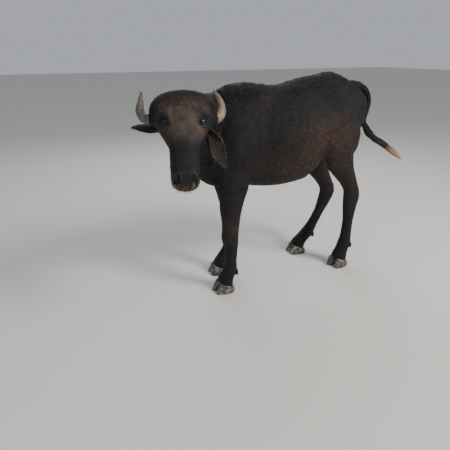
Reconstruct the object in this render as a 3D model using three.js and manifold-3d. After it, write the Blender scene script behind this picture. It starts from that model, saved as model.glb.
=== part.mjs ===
// A young water buffalo cow standing on four feet with her head turned to her left, life size.
// Millimetres. +X is forward, +Y is her left side, +Z is up, and the floor is z = 0.
import * as THREE from 'three';
import { mergeVertices } from 'three/addons/utils/BufferGeometryUtils.js';
import Module from 'manifold-3d';

// Heights above the floor, and the barrel's widths.
const WITHERS_HEIGHT = 1250;
const LOIN_HEIGHT = 1230;
const HIP_HEIGHT = 1298;
const TAIL_HEAD_HEIGHT = 1214;
const STERNUM_HEIGHT = 648;
const BELLY_HEIGHT = 630;
const CHEST_WIDTH = 376;
const BARREL_WIDTH = 468;
const HIP_WIDTH = 420;

// Lengths along the back, measured from a line through the left forefoot.
const BREAST_X = 195;
const WITHERS_X = -120;
const FLANK_X = -600;
const HIP_X = -745;
const PIN_X = -995;

// The head: its length from poll to nose, where the poll is, and how it is turned and bowed.
const HEAD_LENGTH = 415;
const POLL = new THREE.Vector3(375, 352, 1203);
const HEAD_TURN = THREE.MathUtils.degToRad(69);
const HEAD_BOW = THREE.MathUtils.degToRad(50);
const FOREHEAD_WIDTH = 312;
const MUZZLE_WIDTH = 124;
const EYE_RADIUS = 19;
const EYE_PLACE = { along: 111, out: 83, high: -6 };

const HORN_RADIUS = 27;
const EAR_LENGTH = 196;
const HOOF_HEIGHT = 66;
const CLAW_WIDTH = 58;
const CLEFT = 9;
const CANNON_WIDTH = 60;

// Touching pieces keep this gap, and a cutting block reaches this far.
const GAP = 0.3;
const REACH = 3000;
const TINY = 1e-3;

const FORWARD = new THREE.Vector3(1, 0, 0);
const UP = new THREE.Vector3(0, 0, 1);
const SIDEWAYS = new THREE.Vector3(0, 1, 0);
const LEFT = 1;
const RIGHT = -1;

const wasm = await Module();
wasm.setup();

// Materials.
const HIDE = new THREE.MeshStandardMaterial({ color: 0x2a2422, roughness: 0.82 });
const HORN = new THREE.MeshStandardMaterial({ color: 0x8d7a66, roughness: 0.6 });
const HOOF = new THREE.MeshStandardMaterial({ color: 0x4a4642, roughness: 0.55 });
const EYE = new THREE.MeshStandardMaterial({ color: 0x0d0a08, roughness: 0.08 });
const TAIL_HAIR = new THREE.MeshStandardMaterial({ color: 0x6e5a44, roughness: 0.8 });

// A repeatable draw of numbers from 0 to 1.
function seeded(seed) {
  let state = seed;
  return () => {
    state = (state * 1664525 + 1013904223) % 4294967296;
    return state / 4294967296;
  };
}

// A smooth line of numbers through the values at the knots.
function track(knots, values) {
  const last = knots.length - 1;
  const slopes = values.map((value, i) => {
    const before = Math.max(i - 1, 0);
    const after = Math.min(i + 1, last);
    return (values[after] - values[before]) / (knots[after] - knots[before]);
  });
  return (t) => {
    let i = 0;
    while (i < last - 1 && t > knots[i + 1]) i += 1;
    const span = knots[i + 1] - knots[i];
    const s = (t - knots[i]) / span;
    const start = (2 * s ** 3 - 3 * s ** 2 + 1) * values[i];
    const end = (3 * s ** 2 - 2 * s ** 3) * values[i + 1];
    const lean = (s ** 3 - 2 * s ** 2 + s) * slopes[i] + (s ** 3 - s ** 2) * slopes[i + 1];
    return start + end + lean * span;
  };
}

// The signed volume tells which way the faces of a closed body point.
function facesOut(positions, index) {
  const corner = [new THREE.Vector3(), new THREE.Vector3(), new THREE.Vector3()];
  let volume = 0;
  for (let i = 0; i < index.length; i += 3) {
    corner.forEach((point, k) => point.fromArray(positions, index[i + k] * 3));
    volume += corner[0].dot(corner[1].clone().cross(corner[2]));
  }
  return volume > 0;
}

function meshGeometry(points, index) {
  const positions = points.flatMap((point) => point.toArray());
  const faces = facesOut(positions, index) ? index : index.slice().reverse();
  const geometry = new THREE.BufferGeometry();
  geometry.setAttribute('position', new THREE.Float32BufferAttribute(positions, 3));
  geometry.setIndex(faces);
  return geometry;
}

// Joins equal loops of points into one closed body, with a fan over each end.
function closedLoops(loops) {
  const around = loops[0].length;
  const points = loops.flat();
  const index = [];
  for (let i = 0; i < loops.length - 1; i += 1) {
    for (let j = 0; j < around; j += 1) {
      const a = i * around + j;
      const b = i * around + ((j + 1) % around);
      index.push(a, b, b + around, a, b + around, a + around);
    }
  }
  for (const end of [0, loops.length - 1]) {
    const middle = loops[end].reduce((sum, p) => sum.add(p), new THREE.Vector3());
    points.push(middle.divideScalar(around));
    for (let j = 0; j < around; j += 1) {
      const a = end * around + j;
      const b = end * around + ((j + 1) % around);
      if (end === 0) index.push(points.length - 1, b, a);
      else index.push(points.length - 1, a, b);
    }
  }
  return meshGeometry(points, index);
}

// Joins two like grids of points, one for each face of a thin curved sheet, round all four edges.
function closedSheet(outer, inner) {
  const loops = outer.map((row, i) => [...row, ...inner[i].slice().reverse()]);
  const around = loops[0].length;
  const index = [];
  for (let i = 0; i < loops.length - 1; i += 1) {
    for (let j = 0; j < around; j += 1) {
      const a = i * around + j;
      const b = i * around + ((j + 1) % around);
      index.push(a, b, b + around, a, b + around, a + around);
    }
  }
  for (const end of [0, loops.length - 1]) {
    for (let j = 0; j < around / 2 - 1; j += 1) {
      const a = end * around + j;
      const b = end * around + around - 1 - j;
      if (end === 0) index.push(a + 1, a, b, a + 1, b, b - 1);
      else index.push(a, a + 1, b, a + 1, b - 1, b);
    }
  }
  return meshGeometry(loops.flat(), index);
}

// Every ring of a swept body has these sizes: its reach above, below and beside its centre, how
// square its upper and lower halves are (2 is round), and how much its lower half narrows.
const RING = { top: 10, bottom: 10, side: 10, crown: 2, keel: 2, taper: 0 };

function ringReader(stations) {
  const full = stations.map(({ at, ...sizes }) => ({ x: at[0], y: at[1], z: at[2], ...RING, ...sizes }));
  const knots = [0];
  for (let i = 1; i < full.length; i += 1) {
    const step = Math.hypot(full[i].x - full[i - 1].x, full[i].y - full[i - 1].y, full[i].z - full[i - 1].z);
    knots.push(knots[i - 1] + step);
  }
  const tracks = {};
  for (const name of Object.keys(full[0])) tracks[name] = track(knots, full.map((ring) => ring[name]));
  const read = (t) => Object.fromEntries(Object.entries(tracks).map(([name, line]) => [name, line(t)]));
  return { knots, length: knots[knots.length - 1], read };
}

// Sweeps a body through its stations. A bump swells or sinks the surface round one spot. Rings lie
// square to the path, or square to the heading when one is given.
function sweep(stations, { around = 20, rings = 24, up = UP, bumps = [], heading = null } = {}) {
  const reader = ringReader(stations);
  const last = stations.length - 1;
  const loops = [];
  for (let i = 0; i <= rings; i += 1) {
    const share = i / rings;
    const stretch = Math.min(Math.floor(share * last), last - 1);
    const within = share * last - stretch;
    const t = reader.knots[stretch] * (1 - within) + reader.knots[stretch + 1] * within;
    const ring = reader.read(t);
    const ahead = reader.read(Math.min(t + 1, reader.length));
    const behind = reader.read(Math.max(t - 1, 0));
    const step = new THREE.Vector3(ahead.x - behind.x, ahead.y - behind.y, ahead.z - behind.z);
    const along = heading ? heading.clone() : step.normalize();
    const across = new THREE.Vector3().crossVectors(along, up).normalize();
    const over = new THREE.Vector3().crossVectors(across, along);
    const centre = new THREE.Vector3(ring.x, ring.y, ring.z);
    const loop = [];
    for (let j = 0; j < around; j += 1) {
      const angle = (j / around) * Math.PI * 2;
      const c = Math.cos(angle);
      const s = Math.sin(angle);
      const bend = 2 / (s >= 0 ? ring.crown : ring.keel);
      const narrow = 1 - ring.taper * Math.max(0, -s);
      const out = Math.sign(c) * Math.abs(c) ** bend * ring.side * narrow;
      const high = Math.sign(s) * Math.abs(s) ** bend * (s >= 0 ? ring.top : ring.bottom);
      const point = centre.clone().addScaledVector(across, out).addScaledVector(over, high);
      const away = point.clone().sub(centre).normalize();
      let push = 0;
      for (const { at, reach, by } of bumps) {
        const far = Math.hypot(...point.toArray().map((value, k) => (value - at[k]) / reach[k]));
        push += by * Math.exp(-far * far);
      }
      loop.push(point.addScaledVector(away, push));
    }
    loops.push(loop);
  }
  return closedLoops(loops);
}

// The same bumps on both sides of the body.
function bothSides(bumps) {
  return bumps.flatMap((bump) => [LEFT, RIGHT].map((side) => {
    const [x, y, z] = bump.at;
    return { ...bump, at: [x, y * side, z] };
  }));
}

function solidFrom(geometry) {
  const bare = geometry.clone();
  bare.deleteAttribute('normal');
  bare.deleteAttribute('uv');
  const merged = mergeVertices(bare, TINY);
  const mesh = new wasm.Mesh({
    numProp: 3,
    vertProperties: merged.attributes.position.array,
    triVerts: new Uint32Array(merged.index.array),
  });
  return new wasm.Manifold(mesh);
}

// The largest closed surface of a solid, so that no loose scrap of a cut is left.
function largest(solid) {
  const bodies = solid.decompose().sort((a, b) => b.volume() - a.volume());
  return bodies[0].simplify(0.05);
}

function meshFrom(name, solid, material) {
  const { vertProperties, triVerts } = largest(solid).getMesh();
  const geometry = new THREE.BufferGeometry();
  geometry.setAttribute('position', new THREE.BufferAttribute(vertProperties, 3));
  geometry.setIndex(new THREE.BufferAttribute(triVerts, 1));
  geometry.computeVertexNormals();
  const mesh = new THREE.Mesh(geometry, material);
  mesh.name = name;
  return mesh;
}

const join = (solids) => solids.reduce((sum, solid) => sum.add(solid));

// A block on one side of a plane, moved back by the gap that it is to leave.
function blockBeyond(point, normal, gap) {
  const along = normal.clone().normalize();
  const turn = new THREE.Quaternion().setFromUnitVectors(UP, along);
  const geometry = new THREE.BoxGeometry(REACH, REACH, REACH);
  geometry.applyQuaternion(turn);
  const middle = point.clone().addScaledVector(along, REACH / 2 - gap);
  geometry.translate(middle.x, middle.y, middle.z);
  return solidFrom(geometry);
}

// A box between two corners, grown by the gap.
function blockBetween(low, high, gap) {
  const size = high.map((value, k) => value - low[k] + 2 * gap);
  const geometry = new THREE.BoxGeometry(...size);
  geometry.translate(...high.map((value, k) => (value + low[k]) / 2));
  return solidFrom(geometry);
}

// Parts a solid in two by a region, and leaves the gap between them.
function part(whole, region) {
  return [whole.intersect(region(0)), whole.subtract(region(GAP))];
}

// The head's own frame: x runs from poll to nose, y to her left, z out of the forehead.
function headFrame() {
  const facing = new THREE.Vector3(Math.cos(HEAD_TURN), Math.sin(HEAD_TURN), 0);
  const left = new THREE.Vector3().crossVectors(UP, facing);
  const nose = facing.clone().multiplyScalar(Math.cos(HEAD_BOW)).addScaledVector(UP, -Math.sin(HEAD_BOW));
  const brow = new THREE.Vector3().crossVectors(nose, left);
  return new THREE.Matrix4().makeBasis(nose, left, brow).setPosition(POLL);
}

const HEAD_FRAME = headFrame();

function headPoint(along, out, high) {
  return new THREE.Vector3(along, out, high).applyMatrix4(HEAD_FRAME);
}

function headDirection(along, out, high) {
  return new THREE.Vector3(along, out, high).transformDirection(HEAD_FRAME);
}

const inHead = (geometry) => geometry.applyMatrix4(HEAD_FRAME);

// The barrel, from breast to pin bones.
function torso() {
  const rows = [
    { x: BREAST_X, top: 985, bottom: 775, side: 50 },
    { x: BREAST_X - 35, top: 1070, bottom: 722, side: 112 },
    { x: BREAST_X - 105, top: 1170, bottom: 672, side: 150, crown: 1.8 },
    { x: 0, top: WITHERS_HEIGHT - 20, bottom: STERNUM_HEIGHT + 4, side: CHEST_WIDTH / 2 - 8, crown: 1.6 },
    { x: WITHERS_X, top: WITHERS_HEIGHT, bottom: STERNUM_HEIGHT, side: CHEST_WIDTH / 2, crown: 1.55 },
    { x: -220, top: WITHERS_HEIGHT - 8, bottom: 632, side: 204, crown: 1.6, keel: 2.1 },
    { x: -330, top: LOIN_HEIGHT, bottom: 624, side: 224, crown: 1.7, keel: 2.2 },
    { x: -440, top: LOIN_HEIGHT + 18, bottom: BELLY_HEIGHT, side: BARREL_WIDTH / 2, crown: 1.7, keel: 2.2 },
    { x: -540, top: LOIN_HEIGHT + 40, bottom: 650, side: 228, crown: 1.7, keel: 2.2 },
    { x: FLANK_X - 20, top: HIP_HEIGHT - 18, bottom: 712, side: 206, crown: 1.8 },
    { x: HIP_X + 20, top: HIP_HEIGHT, bottom: 772, side: 192, crown: 1.9 },
    { x: -810, top: HIP_HEIGHT - 20, bottom: 800, side: 176, crown: 1.8 },
    { x: -885, top: TAIL_HEAD_HEIGHT + 32, bottom: 830, side: 150, crown: 1.7 },
    { x: PIN_X + 45, top: TAIL_HEAD_HEIGHT - 2, bottom: 872, side: 116, crown: 1.8 },
    { x: PIN_X - 5, top: 1172, bottom: 930, side: 76 },
    { x: PIN_X - 20, top: 1130, bottom: 990, side: 34 },
  ];
  const stations = rows.map(({ x, top, bottom, ...sizes }) => {
    const waist = bottom + (top - bottom) * 0.46;
    return { at: [x, 0, waist], top: top - waist, bottom: waist - bottom, ...sizes };
  });
  const shoulder = { at: [-10, 185, 930], reach: [120, 80, 210], by: 16 };
  const shoulderPoint = { at: [130, 130, 870], reach: [60, 70, 80], by: 26 };
  const behindShoulder = { at: [-190, 195, 860], reach: [70, 90, 200], by: -16 };
  const bladeTop = { at: [-90, 90, 1190], reach: [90, 60, 60], by: 12 };
  const hipBone = { at: [-700, 205, 1215], reach: [62, 60, 52], by: 44 };
  const flankHollow = { at: [-590, 200, 1130], reach: [95, 90, 90], by: -34 };
  const rumpHollow = { at: [-850, 130, 1180], reach: [80, 70, 70], by: -12 };
  const pinBone = { at: [-975, 92, 1110], reach: [45, 50, 45], by: 24 };
  const bellySide = { at: [-420, 210, 760], reach: [200, 90, 130], by: 14 };
  const bumps = bothSides([
    shoulder, shoulderPoint, behindShoulder, bladeTop, hipBone, flankHollow, rumpHollow, pinBone, bellySide,
  ]);
  return sweep(stations, { around: 32, rings: 34, bumps, heading: FORWARD.clone().negate() });
}

// The neck bends to her left, from the shoulders to the back of the head.
function neck() {
  const nape = headPoint(25, 0, -70);
  const stations = [
    { at: [-60, 0, 985], top: 225, bottom: 270, side: 128, crown: 1.7 },
    { at: [50, 8, 992], top: 218, bottom: 250, side: 124, crown: 1.7 },
    { at: [150, 50, 1014], top: 192, bottom: 212, side: 112, crown: 1.8 },
    { at: [235, 125, 1040], top: 160, bottom: 178, side: 100, crown: 1.9 },
    { at: [300, 215, 1068], top: 124, bottom: 152, side: 92 },
    { at: [nape.x - 22, nape.y - 36, nape.z - 4], top: 86, bottom: 120, side: 88 },
    { at: nape.toArray(), top: 62, bottom: 92, side: 78 },
  ];
  return sweep(stations, { around: 24, rings: 18 });
}

// The skull and jaw under their skin, in the head's frame.
function skull() {
  const brow = FOREHEAD_WIDTH / 2;
  const nose = MUZZLE_WIDTH / 2;
  const rows = [
    { x: -66, top: -34, bottom: -108, side: brow - 86 },
    { x: -52, top: -4, bottom: -136, side: brow - 46 },
    { x: -20, top: 20, bottom: -162, side: brow - 16, crown: 2.2, taper: 0.3 },
    { x: 26, top: 36, bottom: -186, side: brow, crown: 2.3, taper: 0.4 },
    { x: 68, top: 40, bottom: -202, side: brow - 8, crown: 2.3, taper: 0.46 },
    { x: 105, top: 36, bottom: -206, side: brow - 31, crown: 2.3, taper: 0.46 },
    { x: 142, top: 25, bottom: -198, side: brow - 53, crown: 2.3, taper: 0.44 },
    { x: 190, top: 8, bottom: -180, side: brow - 73, crown: 2.2, taper: 0.4 },
    { x: 245, top: -8, bottom: -162, side: nose + 12, crown: 2.2, taper: 0.34 },
    { x: 300, top: -18, bottom: -148, side: nose + 7, crown: 2.2, taper: 0.28 },
    { x: 338, top: -24, bottom: -140, side: nose + 3, crown: 2.3, taper: 0.2 },
    { x: 366, top: -32, bottom: -136, side: nose + 2, crown: 2.5, keel: 2.3, taper: 0.16 },
    { x: 388, top: -46, bottom: -132, side: nose - 3, crown: 2.5, keel: 2.3, taper: 0.14 },
    { x: 404, top: -64, bottom: -124, side: nose - 15, crown: 2.3, keel: 2.3, taper: 0.1 },
    { x: 412, top: -78, bottom: -112, side: nose - 34 },
    { x: HEAD_LENGTH, top: -90, bottom: -102, side: nose - 50 },
  ];
  const stations = rows.map(({ x, top, bottom, ...sizes }) => {
    const middle = bottom + (top - bottom) * 0.56;
    return { at: [x, 0, middle], top: top - middle, bottom: middle - bottom, ...sizes };
  });
  const { along, out, high } = EYE_PLACE;
  const bumps = bothSides([
    { at: [along - 32, out + 14, high + 8], reach: [26, 36, 30], by: 13 },
    { at: [along + 32, out - 14, high + 6], reach: [30, 30, 26], by: 4 },
    { at: [along + 14, out + 14, high - 44], reach: [60, 40, 30], by: 8 },
    { at: [220, 66, -70], reach: [46, 30, 30], by: -6 },
    { at: [368, 42, -50], reach: [24, 26, 24], by: 8 },
    { at: [366, 46, -96], reach: [34, 24, 14], by: 5 },
  ]);
  bumps.push({ at: [50, 0, 46], reach: [70, 90, 40], by: 8 });
  bumps.push({ at: [378, 0, -136], reach: [26, 40, 20], by: 7 });
  return solidFrom(inHead(sweep(stations, { around: 28, rings: 38, bumps, heading: FORWARD })));
}

// The bony root that each horn stands on, ringed by hair.
function hornRoot(side) {
  const { root } = HORNS[side];
  const stations = [
    { at: [root[0] + 6, side * 66, root[2] + 20], top: 66, bottom: 62, side: 62 },
    { at: [root[0] + 5, side * 104, root[2] + 10], top: 56, bottom: 52, side: 50 },
    { at: [root[0] + 2, side * (root[1] - 16), root[2] + 2], top: 38, bottom: 37, side: 35 },
    { at: [root[0] - 1, side * (root[1] + 6), root[2] - 2], top: 31, bottom: 32, side: 29 },
  ];
  return solidFrom(inHead(sweep(stations, { around: 16, rings: 6 })));
}

// Each horn sweeps out, back and up. The left one curls in further.
const HORNS = {
  [LEFT]: {
    root: [58, 148, -70], middle: [34, 173, -83], outer: [-14, 185, -94], upper: [-68, 178, -98],
    tip: [-124, 152, -98],
  },
  [RIGHT]: {
    root: [56, 150, -70], middle: [38, 185, -83], outer: [-4, 206, -93], upper: [-56, 204, -98],
    tip: [-118, 201, -100],
  },
};

function horn(side) {
  const { root, middle, outer, upper, tip } = HORNS[side];
  const r = HORN_RADIUS;
  const placed = (point, share) => {
    const size = { top: r * share, bottom: r * share, side: r * share * 0.88 };
    return { at: [point[0], point[1] * side, point[2]], ...size };
  };
  const stations = [
    placed(root, 1), placed(middle, 0.98), placed(outer, 0.88), placed(upper, 0.64), placed(tip, 0.2),
  ];
  return solidFrom(inHead(sweep(stations, { around: 14, rings: 18 })));
}

// Each ear is a leaf rolled to a tube at its root. The left one hangs and the right one lies level.
const EARS = {
  [LEFT]: { root: [88, 98, -114], tip: [226, 180, -192], facing: [0.1, 0.5, 0.86] },
  [RIGHT]: { root: [58, 98, -116], tip: [14, 232, -200], facing: [0.85, -0.05, -0.52] },
};

function earFrame(side) {
  const { root, tip, facing } = EARS[side];
  const foot = headPoint(root[0], root[1] * side, root[2]);
  const end = headPoint(tip[0], tip[1] * side, tip[2]);
  const along = end.sub(foot).normalize();
  const mouth = headDirection(facing[0], facing[1] * side, facing[2]);
  const across = new THREE.Vector3().crossVectors(mouth, along).normalize();
  const open = new THREE.Vector3().crossVectors(along, across);
  return new THREE.Matrix4().makeBasis(along, across, open).setPosition(foot);
}

function ear(side) {
  const halfWidth = track([0, 0.12, 0.3, 0.55, 0.8, 0.94, 1], [34, 44, 60, 60, 40, 19, 7]);
  const roll = track([0, 0.15, 0.35, 0.6, 0.85, 1], [2.5, 2.1, 1.45, 1.0, 0.8, 0.6]);
  const thickness = track([0, 0.3, 0.8, 1], [7, 5.5, 4.5, 3]);
  const rows = 11;
  const columns = 9;
  const outer = [];
  const inner = [];
  for (let i = 0; i <= rows; i += 1) {
    const share = i / rows;
    const spread = roll(share);
    const radius = halfWidth(share) / spread;
    const lift = 14 * Math.sin(share * Math.PI) * share;
    const wall = thickness(share) / 2;
    outer.push([]);
    inner.push([]);
    for (let j = 0; j <= columns; j += 1) {
      const angle = (j / columns * 2 - 1) * spread;
      const place = (reach) => new THREE.Vector3(
        share * EAR_LENGTH,
        reach * Math.sin(angle),
        radius - reach * Math.cos(angle) - lift,
      );
      outer[i].push(place(radius + wall));
      inner[i].push(place(radius - wall));
    }
  }
  return solidFrom(closedSheet(outer, inner).applyMatrix4(earFrame(side)));
}

// The muscle that the ear grows from.
function earRoot(side) {
  const [along, out, high] = EARS[side].root;
  const ball = new THREE.SphereGeometry(34, 16, 12);
  ball.scale(1, 0.9, 1);
  ball.translate(along - 4, (out - 12) * side, high + 6);
  return solidFrom(inHead(ball));
}

function eyePoint(side) {
  const { along, out, high } = EYE_PLACE;
  return new THREE.Vector3(along, out * side, high);
}

// Which way each eye looks, in the head's frame.
function gaze(side) {
  return new THREE.Vector3(0.28, 0.62 * side, 0.73).normalize();
}

function ball(centre, radius, around = 16) {
  const geometry = new THREE.SphereGeometry(radius, around, Math.round(around * 0.7));
  geometry.rotateX(Math.PI / 2);
  geometry.translate(centre.x, centre.y, centre.z);
  return solidFrom(inHead(geometry));
}

// The two lids together, a smooth swelling over the eye that is longer than it is high.
function lidSwell(side) {
  const { x, y, z } = eyePoint(side);
  const geometry = new THREE.SphereGeometry(EYE_RADIUS + 3.5, 20, 14);
  geometry.rotateX(Math.PI / 2);
  geometry.scale(1.45, 1.06, 1);
  geometry.translate(x + 1, y, z - 1);
  return solidFrom(inHead(geometry));
}

// The opening between the lids, an almond pushed out along the gaze.
function lidOpening(side) {
  const halfLength = 22;
  const halfHeight = 12;
  const outline = new THREE.Shape();
  outline.moveTo(-halfLength, 0);
  outline.quadraticCurveTo(-2, halfHeight * 2.1, halfLength, 0);
  outline.quadraticCurveTo(-2, -halfHeight * 1.7, -halfLength, 0);
  const geometry = new THREE.ExtrudeGeometry(outline, { depth: 40, bevelEnabled: false, curveSegments: 8 });
  const out = gaze(side);
  const along = new THREE.Vector3(1, 0, -0.25).cross(out).cross(out).negate().normalize();
  const over = new THREE.Vector3().crossVectors(out, along);
  const centre = eyePoint(side);
  geometry.applyMatrix4(new THREE.Matrix4().makeBasis(along, over, out).setPosition(centre));
  return solidFrom(inHead(geometry));
}

// A comma-shaped hollow that runs back and out from the front of the nose.
function nostril(side) {
  const geometry = new THREE.SphereGeometry(1, 14, 10);
  geometry.scale(21, 8.5, 11);
  geometry.rotateZ(side * 0.75);
  geometry.rotateY(0.5);
  geometry.translate(384, side * 36, -58);
  return solidFrom(inHead(geometry));
}

// A thin horseshoe that cuts the line of the mouth round the muzzle.
function mouthLine() {
  const half = MUZZLE_WIDTH / 2;
  const corner = 296;
  const depth = 7;
  const outline = new THREE.Shape();
  outline.moveTo(corner, half + 30);
  outline.lineTo(HEAD_LENGTH + 30, half + 30);
  outline.lineTo(HEAD_LENGTH + 30, -half - 30);
  outline.lineTo(corner, -half - 30);
  outline.lineTo(corner, -half + 12 + depth * 0.4);
  outline.lineTo(HEAD_LENGTH - 42, -half + 8 + depth);
  outline.quadraticCurveTo(HEAD_LENGTH - 10, -half + 16, HEAD_LENGTH - 8 - depth, -12);
  outline.lineTo(HEAD_LENGTH - 8 - depth, 12);
  outline.quadraticCurveTo(HEAD_LENGTH - 10, half - 16, HEAD_LENGTH - 42, half - 8 - depth);
  outline.lineTo(corner, half - 12 - depth * 0.4);
  const geometry = new THREE.ExtrudeGeometry(outline, { depth: 3.5, bevelEnabled: false, curveSegments: 6 });
  geometry.rotateY(0.05);
  geometry.translate(0, 0, -70);
  return solidFrom(inHead(geometry));
}

function head() {
  let solid = skull();
  for (const side of [LEFT, RIGHT]) {
    solid = solid.add(lidSwell(side)).add(hornRoot(side)).add(earRoot(side));
    solid = solid.subtract(lidOpening(side));
    solid = solid.subtract(nostril(side));
  }
  return solid.subtract(mouthLine());
}

// A leg is swept from shoulder or hip to the top of the hoof. Its rings reach forward by top and
// back by bottom.
function legSweep(stations) {
  return solidFrom(sweep(stations, { around: 16, rings: 26, up: FORWARD }));
}

// Sizes shared by both forelegs, from the shoulder down; place gives where each station is.
function foreleg(place) {
  const c = CANNON_WIDTH / 2;
  const stations = [
    { at: place.shoulder, top: 90, bottom: 110, side: 40 },
    { at: place.arm, top: 98, bottom: 118, side: 56 },
    { at: place.elbow, top: 94, bottom: 102, side: 58 },
    { at: place.forearm, top: 72, bottom: 72, side: 52 },
    { at: place.aboveKnee, top: 53, bottom: 54, side: 44 },
    { at: place.knee, top: 54, bottom: 53, side: 47 },
    { at: place.belowKnee, top: 44, bottom: 48, side: 39 },
    { at: place.cannon, top: c + 6, bottom: c + 11, side: c + 1 },
    { at: place.aboveFetlock, top: c + 7, bottom: c + 10, side: c + 5 },
    { at: place.fetlock, top: c + 13, bottom: c + 15, side: c + 14 },
    { at: place.pastern, top: c + 11, bottom: c + 11, side: c + 18 },
    { at: place.coronet, top: c + 16, bottom: c + 19, side: c + 28 },
    { at: place.bed, top: c + 16, bottom: c + 19, side: c + 28 },
  ];
  return legSweep(stations);
}

function hindleg(place) {
  const c = CANNON_WIDTH / 2 - 1;
  const stations = [
    { at: place.hip, top: 118, bottom: 112, side: 46 },
    { at: place.thigh, top: 138, bottom: 144, side: 72 },
    { at: place.stifle, top: 108, bottom: 126, side: 64 },
    { at: place.gaskin, top: 62, bottom: 72, side: 48 },
    { at: place.aboveHock, top: 50, bottom: 58, side: 37 },
    { at: place.hock, top: 56, bottom: 65, side: 42 },
    { at: place.belowHock, top: 48, bottom: 54, side: 39 },
    { at: place.cannon, top: c + 6, bottom: c + 10, side: c + 1 },
    { at: place.aboveFetlock, top: c + 7, bottom: c + 11, side: c + 5 },
    { at: place.fetlock, top: c + 12, bottom: c + 16, side: c + 13 },
    { at: place.pastern, top: c + 10, bottom: c + 11, side: c + 17 },
    { at: place.coronet, top: c + 16, bottom: c + 18, side: c + 27 },
    { at: place.bed, top: c + 16, bottom: c + 18, side: c + 27 },
  ];
  return legSweep(stations);
}

// Where each joint of each leg is, with the way that the toes point, in degrees to her left.
const LEGS = {
  foreleg_left: {
    side: LEFT,
    hoof: [44, 106],
    heading: 2,
    make: foreleg,
    place: {
      shoulder: [-10, 92, 930], arm: [-12, 110, 800], elbow: [-10, 120, 690], forearm: [6, 126, 560],
      aboveKnee: [10, 126, 430], knee: [12, 125, 366], belowKnee: [6, 123, 308], cannon: [4, 120, 245],
      aboveFetlock: [4, 116, 185], fetlock: [6, 113, 146], pastern: [22, 109, 104],
      coronet: [36, 106, 66], bed: [42, 106, 30],
    },
  },
  foreleg_right: {
    side: RIGHT,
    hoof: [-36, -134],
    heading: -6,
    make: foreleg,
    place: {
      shoulder: [-30, -92, 930], arm: [-44, -106, 800], elbow: [-70, -112, 690], forearm: [-94, -118, 560],
      aboveKnee: [-110, -122, 430], knee: [-112, -124, 366], belowKnee: [-114, -126, 308], cannon: [-112, -128, 245],
      aboveFetlock: [-106, -130, 185], fetlock: [-96, -131, 146], pastern: [-68, -133, 104],
      coronet: [-46, -134, 66], bed: [-38, -134, 30],
    },
  },
  hindleg_left: {
    side: LEFT,
    hoof: [-838, 132],
    heading: 12,
    make: hindleg,
    place: {
      hip: [-800, 105, 1080], thigh: [-770, 132, 930], stifle: [-748, 148, 790], gaskin: [-818, 150, 660],
      aboveHock: [-866, 150, 575], hock: [-884, 149, 516], belowHock: [-880, 148, 446], cannon: [-880, 145, 340],
      aboveFetlock: [-879, 140, 225], fetlock: [-875, 138, 172], pastern: [-860, 135, 118],
      coronet: [-845, 132, 70], bed: [-839, 132, 32],
    },
  },
  hindleg_right: {
    side: RIGHT,
    hoof: [-704, -182],
    heading: -8,
    make: hindleg,
    place: {
      hip: [-800, -105, 1080], thigh: [-776, -130, 915], stifle: [-764, -148, 748], gaskin: [-852, -156, 600],
      aboveHock: [-908, -160, 515], hock: [-932, -164, 456], belowHock: [-916, -168, 392], cannon: [-876, -173, 296],
      aboveFetlock: [-822, -178, 196], fetlock: [-792, -180, 150], pastern: [-750, -182, 108],
      coronet: [-714, -182, 70], bed: [-706, -182, 32],
    },
  },
};

// One of the two claws of a hoof. Its inner face is flatter than its outer one.
function claw({ hoof, heading }, across) {
  const half = CLAW_WIDTH / 2;
  const stations = [
    { at: [0, 0, 0], top: 68, bottom: 54, side: half - 2, crown: 2.1, keel: 2.4 },
    { at: [0, 0, 14], top: 66, bottom: 55, side: half, crown: 2.1, keel: 2.4 },
    { at: [0, 0, 40], top: 50, bottom: 50, side: half, crown: 2.2, keel: 2.3 },
    { at: [0, 0, HOOF_HEIGHT + 8], top: 34, bottom: 44, side: half - 3, crown: 2.2, keel: 2.2 },
  ];
  const geometry = sweep(stations, { around: 14, rings: 3, up: FORWARD });
  geometry.rotateZ(-across * 0.06);
  geometry.translate(0, across * (half + CLEFT / 2), 0);
  geometry.rotateZ(THREE.MathUtils.degToRad(heading));
  geometry.translate(hoof[0], hoof[1], 0);
  return solidFrom(geometry);
}

// The sloping plane where horn meets skin, higher at the toe than at the heel.
function coronetPlane({ hoof, heading }) {
  const turn = THREE.MathUtils.degToRad(heading);
  const point = new THREE.Vector3(hoof[0], hoof[1], HOOF_HEIGHT - 12);
  const normal = new THREE.Vector3(0.32 * Math.cos(turn), 0.32 * Math.sin(turn), -1);
  return { point, normal };
}

function dewclaw(leg, across) {
  const [x, y, z] = leg.place.fetlock;
  const drop = new THREE.Vector3(-0.25, 0, -1);
  const start = new THREE.Vector3(x - 32, y + across * 21, z - 6);
  const end = start.clone().addScaledVector(drop, 34);
  const stations = [
    { at: start.toArray(), top: 15, bottom: 13, side: 14 },
    { at: start.clone().lerp(end, 0.5).toArray(), top: 13, bottom: 13, side: 13 },
    { at: end.toArray(), top: 7, bottom: 8, side: 9 },
  ];
  return solidFrom(sweep(stations, { around: 8, rings: 3, up: FORWARD }));
}

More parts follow.
